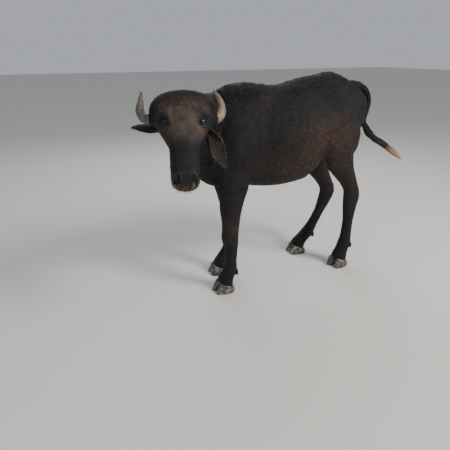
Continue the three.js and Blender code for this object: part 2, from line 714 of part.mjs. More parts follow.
// The tail leaves the rump, falls, and is swung back and out below.
const TAIL = [
  { at: [-915, 0, 1206], radius: 34 },
  { at: [-975, 0, 1204], radius: 31 },
  { at: [-1042, 0, 1174], radius: 26 },
  { at: [-1080, 4, 1112], radius: 22 },
  { at: [-1062, 20, 1052], radius: 19 },
  { at: [-1030, 38, 1004], radius: 17 },
  { at: [-1020, 54, 952], radius: 16 },
  { at: [-1052, 68, 900], radius: 15 },
  { at: [-1110, 80, 856], radius: 14 },
  { at: [-1222, 92, 796], radius: 11 },
  { at: [-1300, 98, 742], radius: 7 },
  { at: [-1352, 102, 700], radius: 3 },
];
const TAIL_BEND = 6;

function tailStations(from, to) {
  return TAIL.slice(from, to + 1).map(({ at, radius }) => ({ at, top: radius, bottom: radius, side: radius }));
}

function tailSweep() {
  return solidFrom(sweep(tailStations(0, TAIL.length - 1), { around: 10, rings: 36, up: SIDEWAYS }));
}

const LOCKS = { count: 22, length: 160, width: 12, thickness: 5, from: 0.1, to: 0.66 };

// Flat tapered locks that lie along the lower tail, overlap, and draw together at its tip.
function switchLocks() {
  const draw = seeded(11);
  const rows = TAIL.slice(TAIL_BEND);
  const line = new THREE.CatmullRomCurve3(rows.map(({ at }) => new THREE.Vector3(...at)));
  const radius = track(rows.map((row, i) => i), rows.map((row) => row.radius));
  const total = line.getLength();
  const solids = [];
  for (let i = 0; i < LOCKS.count; i += 1) {
    const start = LOCKS.from + (LOCKS.to - LOCKS.from) * ((i + draw() * 0.8) / LOCKS.count);
    const angle = i * 2.4 + draw() * 0.6;
    const length = Math.min(LOCKS.length * (0.8 + 0.4 * draw()) / total, 0.985 - start);
    const lift = 7 + 8 * draw();
    const steps = 4;
    const stations = [];
    let outward = UP;
    for (let k = 0; k <= steps; k += 1) {
      const share = k / steps;
      const t = start + length * share;
      const centre = line.getPointAt(t);
      const along = line.getTangentAt(t);
      const across = new THREE.Vector3().crossVectors(along, SIDEWAYS).normalize();
      const over = new THREE.Vector3().crossVectors(across, along);
      const turn = angle + share * 0.5;
      const away = radius(t * (rows.length - 1)) * 0.5 + lift * Math.sin(share * Math.PI * 0.72);
      const aside = across.multiplyScalar(Math.cos(turn)).addScaledVector(over, Math.sin(turn));
      centre.addScaledVector(aside, away);
      if (k === 2) outward = aside.clone();
      const taper = 1 - 0.84 * share ** 1.5;
      const thick = LOCKS.thickness * taper;
      stations.push({ at: centre.toArray(), top: thick, bottom: thick, side: LOCKS.width * taper });
    }
    solids.push(solidFrom(sweep(stations, { around: 4, rings: steps, up: outward })));
  }
  return solids;
}

// The plane regions that part the whole body into its named nodes.
function planeRegion(point, normal, low, high) {
  const at = new THREE.Vector3(...point);
  const facing = new THREE.Vector3(...normal);
  return (gap) => blockBetween(low, high, gap).intersect(blockBeyond(at, facing, gap));
}

function planeThrough(a, b, c) {
  const first = new THREE.Vector3(...b).sub(new THREE.Vector3(...a));
  const second = new THREE.Vector3(...c).sub(new THREE.Vector3(...a));
  const normal = first.cross(second).normalize();
  if (normal.z > 0) normal.negate();
  return normal.toArray();
}

function legRegion(name) {
  const { side } = LEGS[name];
  const inside = side * GAP;
  const outside = side * 420;
  const low = Math.min(inside, outside);
  const high = Math.max(inside, outside);
  if (name.startsWith('fore')) {
    const armpit = [0, side * 60, 655];
    const normal = [0, side * 0.55, -0.83];
    return planeRegion(armpit, normal, [-170, low, -50], [170, high, 860]);
  }
  const flank = [FLANK_X - 10, side * 205, 800];
  const pin = [PIN_X, side * 120, 1000];
  const groin = [HIP_X, side * 36, 782];
  return planeRegion(groin, planeThrough(flank, pin, groin), [-1200, low, -50], [-520, high, 1100]);
}

const group = new THREE.Group();

function add(name, solid, material) {
  group.add(meshFrom(name, solid, material));
}

// Flesh first: the whole body, then its parts.
const tailWhole = tailSweep();
const tailFoot = new THREE.Vector3(-1012, 0, 1188);
const tailDirection = new THREE.Vector3(-0.86, 0, -0.5);
const tailBeyond = (gap) => blockBeyond(tailFoot, tailDirection, gap);
const rump = tailWhole.subtract(tailBeyond(GAP)).intersect(blockBetween([-1100, -80, 1100], [-880, 80, 1300], 0));
let body = join([solidFrom(torso()), solidFrom(neck()), head(), rump]);
for (const leg of Object.values(LEGS)) {
  const { point, normal } = coronetPlane(leg);
  body = body.add(leg.make(leg.place).subtract(blockBeyond(point, normal, GAP)));
}
body = body.simplify(0.8);
for (const [name, leg] of Object.entries(LEGS)) {
  const [piece, rest] = part(body, legRegion(name));
  body = rest;
  const nails = [LEFT, RIGHT].map((across) => dewclaw(leg, across));
  add(name, piece.add(join(nails)), HIDE);
  const { point, normal } = coronetPlane(leg);
  for (const across of [LEFT, RIGHT]) {
    const nail = claw(leg, across).intersect(blockBeyond(point, normal, 0));
    add(name.replace('leg', 'claw') + (across * leg.side > 0 ? '_outer' : '_inner'), nail, HOOF);
  }
}
const neckCut = planeRegion([20, 0, 1235], [0.86, 0.1, 0.42], [-400, -600, 600], [700, 800, 1500]);
const [front, torsoSolid] = part(body, neckCut);
const headPlane = headDirection(0.55, 0, 0.83);
const headFoot = headPoint(-20, 0, -62);
const headCut = planeRegion(headFoot.toArray(), headPlane.toArray(), [100, 100, 600], [800, 900, 1500]);
const [headSolid, neckSolid] = part(front, headCut);
const sockets = [LEFT, RIGHT].map((side) => ball(eyePoint(side), EYE_RADIUS + GAP));
add('neck', neckSolid, HIDE);
add('head', headSolid.subtract(join(sockets)), HIDE);
add('torso', torsoSolid, HIDE);

// Ears, horns and tail stand off the skin that they grow from by a little more than the gap.
const STAND_OFF = 2.5 * GAP;

function standOff(solid, direction) {
  return solid.translate(direction.clone().normalize().multiplyScalar(STAND_OFF).toArray());
}

for (const [side, word] of [[LEFT, 'left'], [RIGHT, 'right']]) {
  const frame = earFrame(side);
  const foot = new THREE.Vector3(14, 0, 0).applyMatrix4(frame);
  const along = new THREE.Vector3(1, 0, 0).transformDirection(frame);
  const leaf = ear(side).intersect(blockBeyond(foot, along, 0)).subtract(front);
  add('ear_' + word, standOff(leaf, along), HIDE);
  const { root, middle } = HORNS[side];
  const outward = headDirection(middle[0] - root[0], (middle[1] - root[1]) * side, middle[2] - root[2]);
  add('horn_' + word, standOff(horn(side).subtract(front), outward), HORN);
  add('eye_' + word, ball(eyePoint(side), EYE_RADIUS), EYE);
}

// The tail hangs from the rump, and its switch starts where it swings back.
const dock = standOff(tailWhole.intersect(tailBeyond(0)).subtract(torsoSolid), tailDirection);
const [bendX, bendY, bendZ] = TAIL[TAIL_BEND].at;
const switchPlane = (gap) => blockBeyond(new THREE.Vector3(bendX, bendY, bendZ - 22), new THREE.Vector3(-0.5, 0, -0.86), gap);
const [switchSolid, tailSolid] = part(dock, switchPlane);
add('tail', tailSolid, HIDE);
add('tail_switch', join([switchSolid, ...switchLocks()]).intersect(switchPlane(0)), TAIL_HAIR);

// The origin is the middle of the footprint of the whole animal, on the floor.
const bounds = new THREE.Box3().setFromObject(group);
group.position.set(-(bounds.min.x + bounds.max.x) / 2, -(bounds.min.y + bounds.max.y) / 2, 0);

export default group;
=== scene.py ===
# A young water buffalo as a still model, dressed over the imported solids.
import math

import bmesh
import bpy
import numpy as np
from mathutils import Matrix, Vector


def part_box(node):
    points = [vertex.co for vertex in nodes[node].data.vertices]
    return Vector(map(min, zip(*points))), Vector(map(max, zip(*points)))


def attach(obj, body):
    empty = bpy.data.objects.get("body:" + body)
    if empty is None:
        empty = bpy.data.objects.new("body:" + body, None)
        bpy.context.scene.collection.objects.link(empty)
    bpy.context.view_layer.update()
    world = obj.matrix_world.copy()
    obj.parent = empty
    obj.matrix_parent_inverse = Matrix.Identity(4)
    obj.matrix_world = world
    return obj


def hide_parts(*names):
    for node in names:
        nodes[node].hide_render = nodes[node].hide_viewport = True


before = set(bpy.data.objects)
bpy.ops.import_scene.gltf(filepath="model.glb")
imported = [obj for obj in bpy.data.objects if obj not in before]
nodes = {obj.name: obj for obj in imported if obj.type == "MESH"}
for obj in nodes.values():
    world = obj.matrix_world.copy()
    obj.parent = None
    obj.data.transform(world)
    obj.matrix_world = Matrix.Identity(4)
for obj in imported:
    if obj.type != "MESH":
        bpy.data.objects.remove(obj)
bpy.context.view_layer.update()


def unit(vector):
    vector = np.asarray(vector, float)
    return vector / np.maximum(np.linalg.norm(vector, axis=-1, keepdims=True), 1e-9)


def rise(value, low, high):
    share = np.clip((value - low) / (high - low), 0, 1)
    return share * share * (3 - 2 * share)


# The animal's own frame has x = 0 at the left forefoot. The head's frame runs from poll to nose,
# to her left, and out of the forehead.
head = {"poll": (0.375, 0.352, 1.203), "turn": 69, "bow": 50}
eyes = {"along": 0.111, "out": 0.083, "high": -0.006, "radius": 0.019, "gaze": (0.28, 0.62, 0.73)}

turn = math.radians(head["turn"])
bow = math.radians(head["bow"])
facing = np.array([math.cos(turn), math.sin(turn), 0])
headLeft = np.cross([0, 0, 1], facing)
noseWard = facing * math.cos(bow) - np.array([0, 0, 1]) * math.sin(bow)
browWard = np.cross(noseWard, headLeft)
headAxes = np.stack([noseWard, headLeft, browWard])
poll = np.array(head["poll"])


def fromHead(points):
    return np.asarray(points, float) @ headAxes + poll


def toHead(points):
    return (np.asarray(points, float) - poll) @ headAxes.T


low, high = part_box("eye_left")
eyeLeft = fromHead([eyes["along"], eyes["out"], eyes["high"]])
shift = (np.array(low) + np.array(high)) / 2 - eyeLeft

# Camera first: eye height, at the angle of the photograph.
camera = {"place": (1.152, 2.363, 1.42), "azimuth": 26.3, "pitch": 21.25, "lens": 36.0}
cameraData = bpy.data.cameras.new("Camera")
cameraData.lens = camera["lens"]
cameraData.sensor_width = 36
cameraData.clip_end = 100
cameraObject = bpy.data.objects.new("Camera", cameraData)
bpy.context.scene.collection.objects.link(cameraObject)
cameraObject.location = np.array(camera["place"]) + shift
cameraObject.rotation_euler = (
    math.radians(90 - camera["pitch"]), 0, math.radians(180 - camera["azimuth"]))
bpy.context.scene.camera = cameraObject
print("camera ready")


# Mesh helpers.
def arraysOf(obj):
    mesh = obj.data
    mesh.calc_loop_triangles()
    points = np.empty(len(mesh.vertices) * 3)
    mesh.vertices.foreach_get("co", points)
    faces = np.empty(len(mesh.loop_triangles) * 3, int)
    mesh.loop_triangles.foreach_get("vertices", faces)
    return points.reshape(-1, 3), faces.reshape(-1, 3)


def newMesh(name, points, faces, material=None, smooth=True):
    points = np.asarray(points, float)
    faces = np.asarray(faces, int)
    mesh = bpy.data.meshes.new(name)
    mesh.vertices.add(len(points))
    mesh.vertices.foreach_set("co", points.ravel())
    sides = faces.shape[1]
    mesh.loops.add(faces.size)
    mesh.loops.foreach_set("vertex_index", faces.ravel())
    mesh.polygons.add(len(faces))
    mesh.polygons.foreach_set("loop_start", np.arange(len(faces)) * sides)
    mesh.polygons.foreach_set("use_smooth", np.full(len(faces), smooth))
    mesh.update(calc_edges=True)
    obj = bpy.data.objects.new(name, mesh)
    bpy.context.scene.collection.objects.link(obj)
    if material:
        mesh.materials.append(material)
    return obj


def joined(parts):
    points, faces, start = [], [], 0
    for some, these in parts:
        points.append(some)
        faces.append(these + start)
        start += len(some)
    return np.concatenate(points), np.concatenate(faces)


def welded(points, faces, distance=1e-5):
    keys = np.round(points / distance).astype(np.int64)
    _, first, where = np.unique(keys, axis=0, return_index=True, return_inverse=True)
    where = where.reshape(-1)
    faces = where[faces]
    keep = (faces[:, 0] != faces[:, 1]) & (faces[:, 1] != faces[:, 2]) & (faces[:, 0] != faces[:, 2])
    return points[first], faces[keep]


def normalsOf(points, faces):
    corners = points[faces[:, :3]]
    across = np.cross(corners[:, 1] - corners[:, 0], corners[:, 2] - corners[:, 0])
    if faces.shape[1] == 4:
        other = points[faces[:, 3]]
        across = across + np.cross(corners[:, 2] - corners[:, 0], other - corners[:, 0])
    total = np.zeros_like(points)
    for side in range(faces.shape[1]):
        for axis in range(3):
            total[:, axis] += np.bincount(faces[:, side], across[:, axis], len(points))
    return unit(total)


def grown(points, faces, by):
    return points + normalsOf(points, faces) * by, faces


# A voxel remesh of closed surfaces that meet, as one closed surface of quads.
def remeshed(name, parts, voxel):
    points, faces = joined(parts)
    obj = newMesh(name, points, faces)
    modifier = obj.modifiers.new("Remesh", "REMESH")
    modifier.mode = "VOXEL"
    modifier.voxel_size = voxel
    modifier.adaptivity = 0
    graph = bpy.context.evaluated_depsgraph_get()
    made = bpy.data.meshes.new_from_object(obj.evaluated_get(graph))
    bpy.data.objects.remove(obj)
    points = np.empty(len(made.vertices) * 3)
    made.vertices.foreach_get("co", points)
    quads = np.empty(len(made.loops), int)
    made.loops.foreach_get("vertex_index", quads)
    bpy.data.meshes.remove(made)
    return largestIsland(points.reshape(-1, 3), quads.reshape(-1, 4))


def ballAt(centre, radius):
    ball = bmesh.new()
    bmesh.ops.create_icosphere(ball, subdivisions=3, radius=radius)
    points = np.array([v.co for v in ball.verts]) + centre
    faces = np.array([[v.index for v in f.verts] for f in ball.faces])
    ball.free()
    return points, faces


def edgesOf(faces):
    sides = faces.shape[1]
    pairs = np.concatenate([faces[:, [i, (i + 1) % sides]] for i in range(sides)])
    pairs = np.sort(pairs, axis=1)
    return np.unique(pairs, axis=0)


def largestIsland(points, faces):
    pairs = edgesOf(faces)
    label = np.arange(len(points))
    while True:
        lowest = np.minimum(label[pairs[:, 0]], label[pairs[:, 1]])
        new = label.copy()
        np.minimum.at(new, pairs[:, 0], lowest)
        np.minimum.at(new, pairs[:, 1], lowest)
        new = new[new]
        new = new[new]
        if np.array_equal(new, label):
            break
        label = new
    values, counts = np.unique(label, return_counts=True)
    keep = label == values[np.argmax(counts)]
    index = np.cumsum(keep) - 1
    return points[keep], index[faces[keep[faces[:, 0]]]]


# Smoothing that keeps the volume. Weights from 0 to 1 hold parts of the surface back.
def smoothed(points, faces, rounds, weights=None):
    pairs = edgesOf(faces)
    count = np.bincount(pairs.ravel(), minlength=len(points))[:, None]
    share = 1 if weights is None else weights[:, None]
    for _ in range(rounds):
        for factor in (0.55, -0.57):
            total = np.empty_like(points)
            for axis in range(3):
                total[:, axis] = np.bincount(pairs[:, 0], points[pairs[:, 1], axis], len(points))
                total[:, axis] += np.bincount(pairs[:, 1], points[pairs[:, 0], axis], len(points))
            points = points + (total / np.maximum(count, 1) - points) * factor * share
    return points


# Soft value noise with a fixed seed, for uneven muscle and hair.
def noise(points, size, seed):
    rng = np.random.default_rng(seed)
    table = rng.random(4096) * 2 - 1
    scaled = np.asarray(points) / size + 1000
    base = np.floor(scaled).astype(np.int64)
    part = scaled - base
    part = part * part * (3 - 2 * part)
    total = 0
    for dx in (0, 1):
        for dy in (0, 1):
            for dz in (0, 1):
                place = (base[:, 0] + dx) * 73856093 ^ (base[:, 1] + dy) * 19349663
                place = place ^ (base[:, 2] + dz) * 83492791
                weight = (part[:, 0] if dx else 1 - part[:, 0]) * (part[:, 1] if dy else 1 - part[:, 1])
                weight = weight * (part[:, 2] if dz else 1 - part[:, 2])
                total = total + table[place % 4096] * weight
    return total


def segmentFar(points, start, end):
    start, end = np.asarray(start, float), np.asarray(end, float)
    run = end - start
    share = np.clip((points - start) @ run / (run @ run), 0, 1)
    return np.linalg.norm(points - start - share[:, None] * run, axis=1)


# A raised or sunken line on both flanks, in the animal's own frame.
def stroke(points, start, end, width, height):
    total = np.zeros(len(points))
    for side in (1, -1):
        a = np.array(start) * (1, side, 1)
        b = np.array(end) * (1, side, 1)
        total += height * np.exp(-(segmentFar(points, a, b) / width) ** 2)
    return total


# Skin. It lies inside the solids by the depth of the coat.
skin = {"voxel": 0.0062, "sunk": 0.0032, "smoothing": 6, "barrelSmoothing": 28}
fleshNames = [
    "torso", "neck", "head", "foreleg_left", "foreleg_right", "hindleg_left", "hindleg_right", "tail"]

fleshParts = []
for nodeName in fleshNames:
    points, faces = welded(*arraysOf(nodes[nodeName]))
    fleshParts.append(grown(points, faces, 0.0009))
for side in (1, -1):
    centre = fromHead([eyes["along"], eyes["out"] * side, eyes["high"]]) + shift
    fleshParts.append(ballAt(centre, eyes["radius"] + 0.004))

skinPoints, skinFaces = remeshed("SkinBase", fleshParts, skin["voxel"])
skinPoints = skinPoints - shift
print("skin base", len(skinPoints))


def legShare(points):
    return 1 - rise(points[:, 2], 0.62, 0.80)


def headShare(points):
    local = toHead(points)
    inside = rise(local[:, 2], -0.30, -0.22) * rise(local[:, 0], -0.12, -0.07)
    return inside * (np.abs(local[:, 1]) < 0.25) * (local[:, 0] < 0.5) * (points[:, 1] > 0.1)


skinPoints = smoothed(skinPoints, skinFaces, skin["smoothing"])
barrel = (1 - legShare(skinPoints)) * (1 - headShare(skinPoints))
barrel *= 1 - rise(-skinPoints[:, 0], 1.0, 1.03)
skinPoints = smoothed(skinPoints, skinFaces, skin["barrelSmoothing"], barrel)


# The head's part of the skin is split finer for its lids, folds and nostrils.
def splitFiner(points, faces, where):
    mesh = bpy.data.meshes.new("Split")
    mesh.from_pydata(points.tolist(), [], faces.tolist())
    grid = bmesh.new()
    grid.from_mesh(mesh)
    grid.verts.ensure_lookup_table()
    chosen = [e for e in grid.edges if where[e.verts[0].index] and where[e.verts[1].index]]
    bmesh.ops.subdivide_edges(grid, edges=chosen, cuts=1, use_grid_fill=True)
    bmesh.ops.triangulate(grid, faces=grid.faces[:])
    grid.to_mesh(mesh)
    grid.free()
    obj = bpy.data.objects.new("Split", mesh)
    result = arraysOf(obj)
    bpy.data.objects.remove(obj)
    bpy.data.meshes.remove(mesh)
    return result


skinPoints, skinFaces = splitFiner(skinPoints, skinFaces, headShare(skinPoints) > 0.5)
skinPoints = smoothed(skinPoints, skinFaces, 2, headShare(skinPoints))
print("skin split", len(skinPoints))


# Muscles, bones and folds. Each stroke runs from a place to a place, with its width and its height.
form = {"ribs": 0.0011, "ribGap": 0.053, "spine": 0.001, "folds": 0.0045, "uneven": 0.0022}
bodyStrokes = [
    ((-0.10, 0.10, 1.18), (0.02, 0.19, 0.90), 0.026, 0.006),  # front of the shoulder blade
    ((-0.20, 0.15, 1.14), (-0.17, 0.19, 0.80), 0.03, -0.006),  # hollow behind the shoulder
    ((0.05, 0.15, 1.08), (0.10, 0.14, 0.92), 0.03, -0.005),  # hollow before the shoulder
    ((-0.03, 0.17, 0.86), (-0.10, 0.16, 0.78), 0.035, 0.006),  # muscle above the elbow
    ((-0.70, 0.20, 0.84), (-0.58, 0.215, 0.96), 0.02, 0.007),  # fold of the flank
    ((-0.84, 0.16, 1.12), (-0.84, 0.17, 0.82), 0.022, -0.005),  # groove down the thigh
    ((-0.72, 0.19, 1.15), (-0.76, 0.2, 0.9), 0.03, 0.004),  # front of the thigh
    ((-0.70, 0.2, 1.22), (-0.97, 0.09, 1.13), 0.02, 0.003),  # hip bone to pin bone
]


def bodyForm(points):
    x, y, z = points.T
    total = np.zeros(len(points))
    flank = rise(np.abs(y), 0.11, 0.16) * rise(-x, 0.16, 0.24) * (1 - rise(-x, 0.52, 0.6))
    flank = flank * rise(z, 0.74, 0.84) * (1 - rise(z, 1.06, 1.16))
    total += form["ribs"] * flank * np.cos(2 * np.pi * (x + 0.32 * (z - 0.95)) / form["ribGap"])
    ridge = np.exp(-(y / 0.028) ** 2) * rise(z, 1.12, 1.18) * rise(-x, 0.05, 0.12)
    total += form["spine"] * ridge * (0.4 + np.cos(2 * np.pi * x / 0.062))
    for begin, finish, width, height in bodyStrokes:
        total += stroke(points, begin, finish, width, height)
    total += form["uneven"] * noise(points, 0.09, 3) * (1 - legShare(points) * 0.6)
    total += form["uneven"] * 0.4 * noise(points, 0.035, 4)
    return total


neckPath = np.array([(-0.06, 0, 0.985), (0.05, 0.008, 0.992), (0.15, 0.05, 1.014), (0.235, 0.125, 1.04),
                     (0.30, 0.215, 1.068), (0.34, 0.29, 1.09)])


# Creases across the bend of the neck, deepest on its inner side.
def neckFolds(points):
    total = np.zeros(len(points))
    for place in (1.7, 2.25, 2.8, 3.35, 3.9):
        i = int(place)
        share = place - i
        centre = neckPath[i] * (1 - share) + neckPath[min(i + 1, 5)] * share
        along = unit(neckPath[min(i + 1, 5)] - neckPath[i])
        left = unit(np.cross([0, 0, 1], along))
        off = points - centre
        wave = 0.012 * noise(points, 0.06, int(place * 10))
        near = np.exp(-((off @ along + wave) / 0.0075) ** 2)
        near = near * rise(off @ left, 0.0, 0.07) * (np.linalg.norm(off, axis=1) < 0.27)
        total -= form["folds"] * near * (1 - rise(off[:, 2], 0.05, 0.15))
    return total


legs = {
    "foreleg_left": [
        (0.006, 0.126, 0.56), (0.012, 0.125, 0.366),
        (0.004, 0.12, 0.245), (0.006, 0.113, 0.146)],
    "foreleg_right": [
        (-0.094, -0.118, 0.56), (-0.112, -0.124, 0.366),
        (-0.112, -0.128, 0.245), (-0.096, -0.131, 0.146)],
    "hindleg_left": [
        (-0.818, 0.15, 0.66), (-0.884, 0.149, 0.516),
        (-0.88, 0.145, 0.34), (-0.875, 0.138, 0.172)],
    "hindleg_right": [
        (-0.852, -0.156, 0.6), (-0.932, -0.164, 0.456),
        (-0.876, -0.173, 0.296), (-0.792, -0.18, 0.15)],
}


# Tendons behind the shank, and wrinkled skin over the joints.
def legForm(points):
    total = np.zeros(len(points))
    for name, line in legs.items():
        line = np.array(line)
        joint, middle, lower = line[1], line[2], line[3]
        side = 1 if joint[1] > 0 else -1
        back = np.array([-1, 0, 0.0])
        for out in (1, -1):
            a = middle * 0.5 + joint * 0.5 + back * 0.012 + np.array([0, out * 0.03, 0])
            b = lower + back * 0.008 + np.array([0, out * 0.03, 0.03])
            total -= 0.0042 * np.exp(-(segmentFar(points, a, b) / 0.008) ** 2)
        for spot, size in ((joint, 0.05), (lower, 0.04)):
            near = np.exp(-(np.linalg.norm(points - spot, axis=1) / size) ** 4)
            rings = np.cos(2 * np.pi * (points[:, 2] + 0.004 * noise(points, 0.02, 8)) / 0.011)
            total += 0.0009 * near * rings
    return total


# Brow, veins, lids, nostrils and lips, in the head's frame.
def faceForm(points):
    local = toHead(points)
    u, v, w = local.T
    level = np.abs(v)
    total = np.zeros(len(points))
    ridge = u - 0.078 - 0.35 * (level - 0.09)
    total += 0.006 * np.exp(-((ridge / 0.011) ** 2 + ((level - 0.092) / 0.032) ** 2)) * rise(w, -0.05, -0.01)
    dip = ((u - 0.10) / 0.04) ** 2 + ((level - 0.048) / 0.016) ** 2
    total -= 0.004 * np.exp(-dip) * rise(w, -0.02, 0.02)
    # Wrinkles under and behind the eye.
    far = np.hypot(u - eyes["along"] - 0.004, (level - eyes["out"] - 0.012) * 0.8)
    rings = np.cos(2 * np.pi * (far - 0.026) / 0.0085)
    total += 0.0012 * rings * np.exp(-((far - 0.033) / 0.011) ** 2) * (level > 0.05) * rise(w, -0.06, -0.02)
    # A vein down each side of the nose, and wrinkles over the bridge above the pad.
    vein = np.exp(-((level - 0.042 - 0.008 * np.sin(u * 40)) / 0.004) ** 2)
    total += 0.0016 * vein * rise(u, 0.17, 0.21) * (1 - rise(u, 0.29, 0.33))
    crease = np.cos(2 * np.pi * (u + 0.25 * level) / 0.0125)
    total += 0.0009 * crease * np.exp(-((u - 0.325) / 0.022) ** 2) * rise(w, -0.09, -0.04)
    # Nostril rims stand up round their hollows.
    hollow = np.sqrt(((u - 0.381) / 0.02) ** 2 + ((level - 0.038) / 0.011) ** 2)
    total += 0.0028 * np.exp(-((hollow - 1.35) / 0.35) ** 2) * rise(w, -0.1, -0.07)
    total -= 0.011 * np.exp(-hollow ** 2.5) * rise(w, -0.1, -0.075)
    # The line of the mouth and the swell of the lips.
    line = w + 0.068 + 0.05 * u * 0.6 + 0.004 * np.sin(u * 30)
    mouth = rise(u, 0.285, 0.31)
    total -= 0.006 * np.exp(-(line / 0.003) ** 2) * mouth
    total += 0.0025 * np.exp(-((np.abs(line) - 0.010) / 0.007) ** 2) * mouth
    # The groove down the middle of the upper lip and pad.
    total -= 0.002 * np.exp(-(v / 0.003) ** 2) * rise(u, 0.36, 0.385) * rise(w, -0.085, -0.07)
    # Jaw edge and cheek muscle.
    total += 0.005 * np.exp(-(((u - 0.15) / 0.05) ** 2 + ((w + 0.13) / 0.045) ** 2)) * rise(level, 0.04, 0.07)
    total -= 0.004 * np.exp(-(((u - 0.215) / 0.02) ** 2 + ((w + 0.10) / 0.04) ** 2)) * rise(level, 0.03, 0.06)
    return total * (headShare(points) > 0.01)


normals = normalsOf(skinPoints, skinFaces)
headNear = headShare(skinPoints)
depth = -skin["sunk"] * (1 - 0.55 * legShare(skinPoints)) * (1 - 0.5 * headNear)
push = depth + bodyForm(skinPoints) * (1 - headNear) + neckFolds(skinPoints) + legForm(skinPoints)
push += faceForm(skinPoints)
skinPoints = skinPoints + normals * push[:, None]
print("skin formed")


# Lids: an almond opening is cut in the skin over each eye, and a rim is laid round it.
lids = {"halfLength": 0.0170, "upper": 0.0082, "lower": 0.0066, "slant": (0.6, -0.8, -0.1),
        "rim": 0.0024, "rimOut": 0.0010, "rimLift": 0.0008, "rimSteps": 56, "rimSides": 10}


def eyeFrame(side):
    out = unit(np.array(eyes["gaze"]) * (1, side, 1))
    slant = np.array(lids["slant"]) * (1, side, 1)
    along = unit(slant - out * (slant @ out))
    over = np.cross(out, along)
    if over[0] > 0:
        over = -over
    return np.array([eyes["along"], eyes["out"] * side, eyes["high"]]), along, over, out


def almond(angle, grow=0.0):
    across = np.cos(angle) * (lids["halfLength"] + grow)
    share = np.abs(np.sin(angle)) ** 1.15 * np.sign(np.sin(angle))
    high = np.where(share > 0, lids["upper"] + grow, lids["lower"] + grow) * share
    return across, high + 0.0012 * np.cos(angle)


# The skin round the opening is drawn down on to the eyeball, with a swell and a crease beyond it.
eyeCut = np.zeros(len(skinPoints), bool)
for side in (1, -1):
    centre, along, over, out = eyeFrame(side)
    local = toHead(skinPoints) - centre
    a, o, f = local @ along, local @ over, local @ out
    far = np.linalg.norm(local, axis=1)
    ring = np.hypot(a / lids["halfLength"], o / np.where(o > 0, lids["upper"], lids["lower"]))
    near = (f > 0) & (far < 0.06)
    reach = eyes["radius"] + 0.0012 + 0.0034 * np.exp(-((ring - 1.55) / 0.3) ** 2)
    weight = (1 - rise(ring, 1.9, 3.1)) * near
    local = local * ((far + (reach - far) * weight) / far)[:, None]
    skinPoints = np.where(near[:, None], fromHead(local + centre), skinPoints)
    eyeCut |= (ring < 1.04) & near
skinFaces = skinFaces[~eyeCut[skinFaces].all(axis=1)]

lidParts = []
for side in (1, -1):
    centre, along, over, out = eyeFrame(side)
    steps, around = lids["rimSteps"], lids["rimSides"]
    angles = np.linspace(0, 2 * np.pi, steps, endpoint=False)
    a, o = almond(angles, lids["rimOut"])
    reach = eyes["radius"] + lids["rimLift"]
    f = np.sqrt(np.maximum(reach ** 2 - a ** 2 - o ** 2, 1e-6))
    f = np.where(a ** 2 + o ** 2 < reach ** 2 * 0.97, f, reach * 0.17)
    path = centre + a[:, None] * along + o[:, None] * over + f[:, None] * out
    ahead = unit(np.roll(path, -1, 0) - np.roll(path, 1, 0))
    away = unit(path - centre)
    beside = np.cross(ahead, away)
    thick = lids["rim"] * (1 + 0.3 * np.maximum(np.sin(angles), 0))
    points = []
    for k in range(around):
        turnBy = 2 * np.pi * k / around
        points.append(path + thick[:, None] * (away * math.cos(turnBy) + beside * math.sin(turnBy)))
    points = fromHead(np.stack(points, 1).reshape(-1, 3))
    i, k = np.meshgrid(np.arange(steps), np.arange(around), indexing="ij")
    nextI, nextK = (i + 1) % steps, (k + 1) % around
    quads = np.stack([i * around + k, nextI * around + k, nextI * around + nextK, i * around + nextK], -1)
    quads = quads.reshape(-1, 4)
    if ((normalsOf(points, quads) * (points - np.repeat(fromHead(path), around, 0))).sum(1)).mean() < 0:
        quads = quads[:, ::-1]
    faces = np.concatenate([quads[:, [0, 1, 2]], quads[:, [0, 2, 3]]])
    lidParts.append((points, faces))


# Ears keep their thin leaf, so they are refined on their own and joined to the skin.
def refinedNode(name, voxel, rounds, by=0.0, extra=()):
    whole = welded(*arraysOf(nodes[name]))
    points, quads = remeshed(name + "Fine", [whole, *extra], voxel)
    points = smoothed(points - shift, quads, rounds)
    points = points + normalsOf(points, quads) * by
    return points, quads


def triangles(quads):
    return np.concatenate([quads[:, [0, 1, 2]], quads[:, [0, 2, 3]]])


earParts = {}
for word in ("left", "right"):
    points, quads = refinedNode("ear_" + word, 0.0023, 6)
    earParts[word] = (points, triangles(quads))

skinPoints, skinFaces = joined([(skinPoints, skinFaces), *lidParts, *earParts.values()])
print("skin whole", len(skinPoints), len(skinFaces))


# Materials.
def newMaterial(name):
    material = bpy.data.materials.new(name)
    material.use_nodes = True
    tree = material.node_tree
    shader = tree.nodes["Principled BSDF"]
    return material, tree, shader


def link(tree, a, b):
    tree.links.new(a, b)


def addNode(tree, kind, **settings):
    made = tree.nodes.new(kind)
    for key, value in settings.items():
        setattr(made, key, value)
    return made


def objectPoints(tree):
    return addNode(tree, "ShaderNodeTexCoord").outputs["Object"]


def noiseNode(tree, vector, scale, detail=3.0, roughness=0.55):
    made = addNode(tree, "ShaderNodeTexNoise")
    made.inputs["Scale"].default_value = scale
    made.inputs["Detail"].default_value = detail
    made.inputs["Roughness"].default_value = roughness
    link(tree, vector, made.inputs["Vector"])
    return made.outputs["Fac"]


def ramp(tree, value, stops):
    made = addNode(tree, "ShaderNodeValToRGB")
    elements = made.color_ramp.elements
    while len(elements) < len(stops):
        elements.new(0.5)
    for element, (place, colour) in zip(elements, stops):
        element.position = place
        element.color = (*colour, 1)
    link(tree, value, made.inputs["Fac"])
    return made.outputs["Color"]


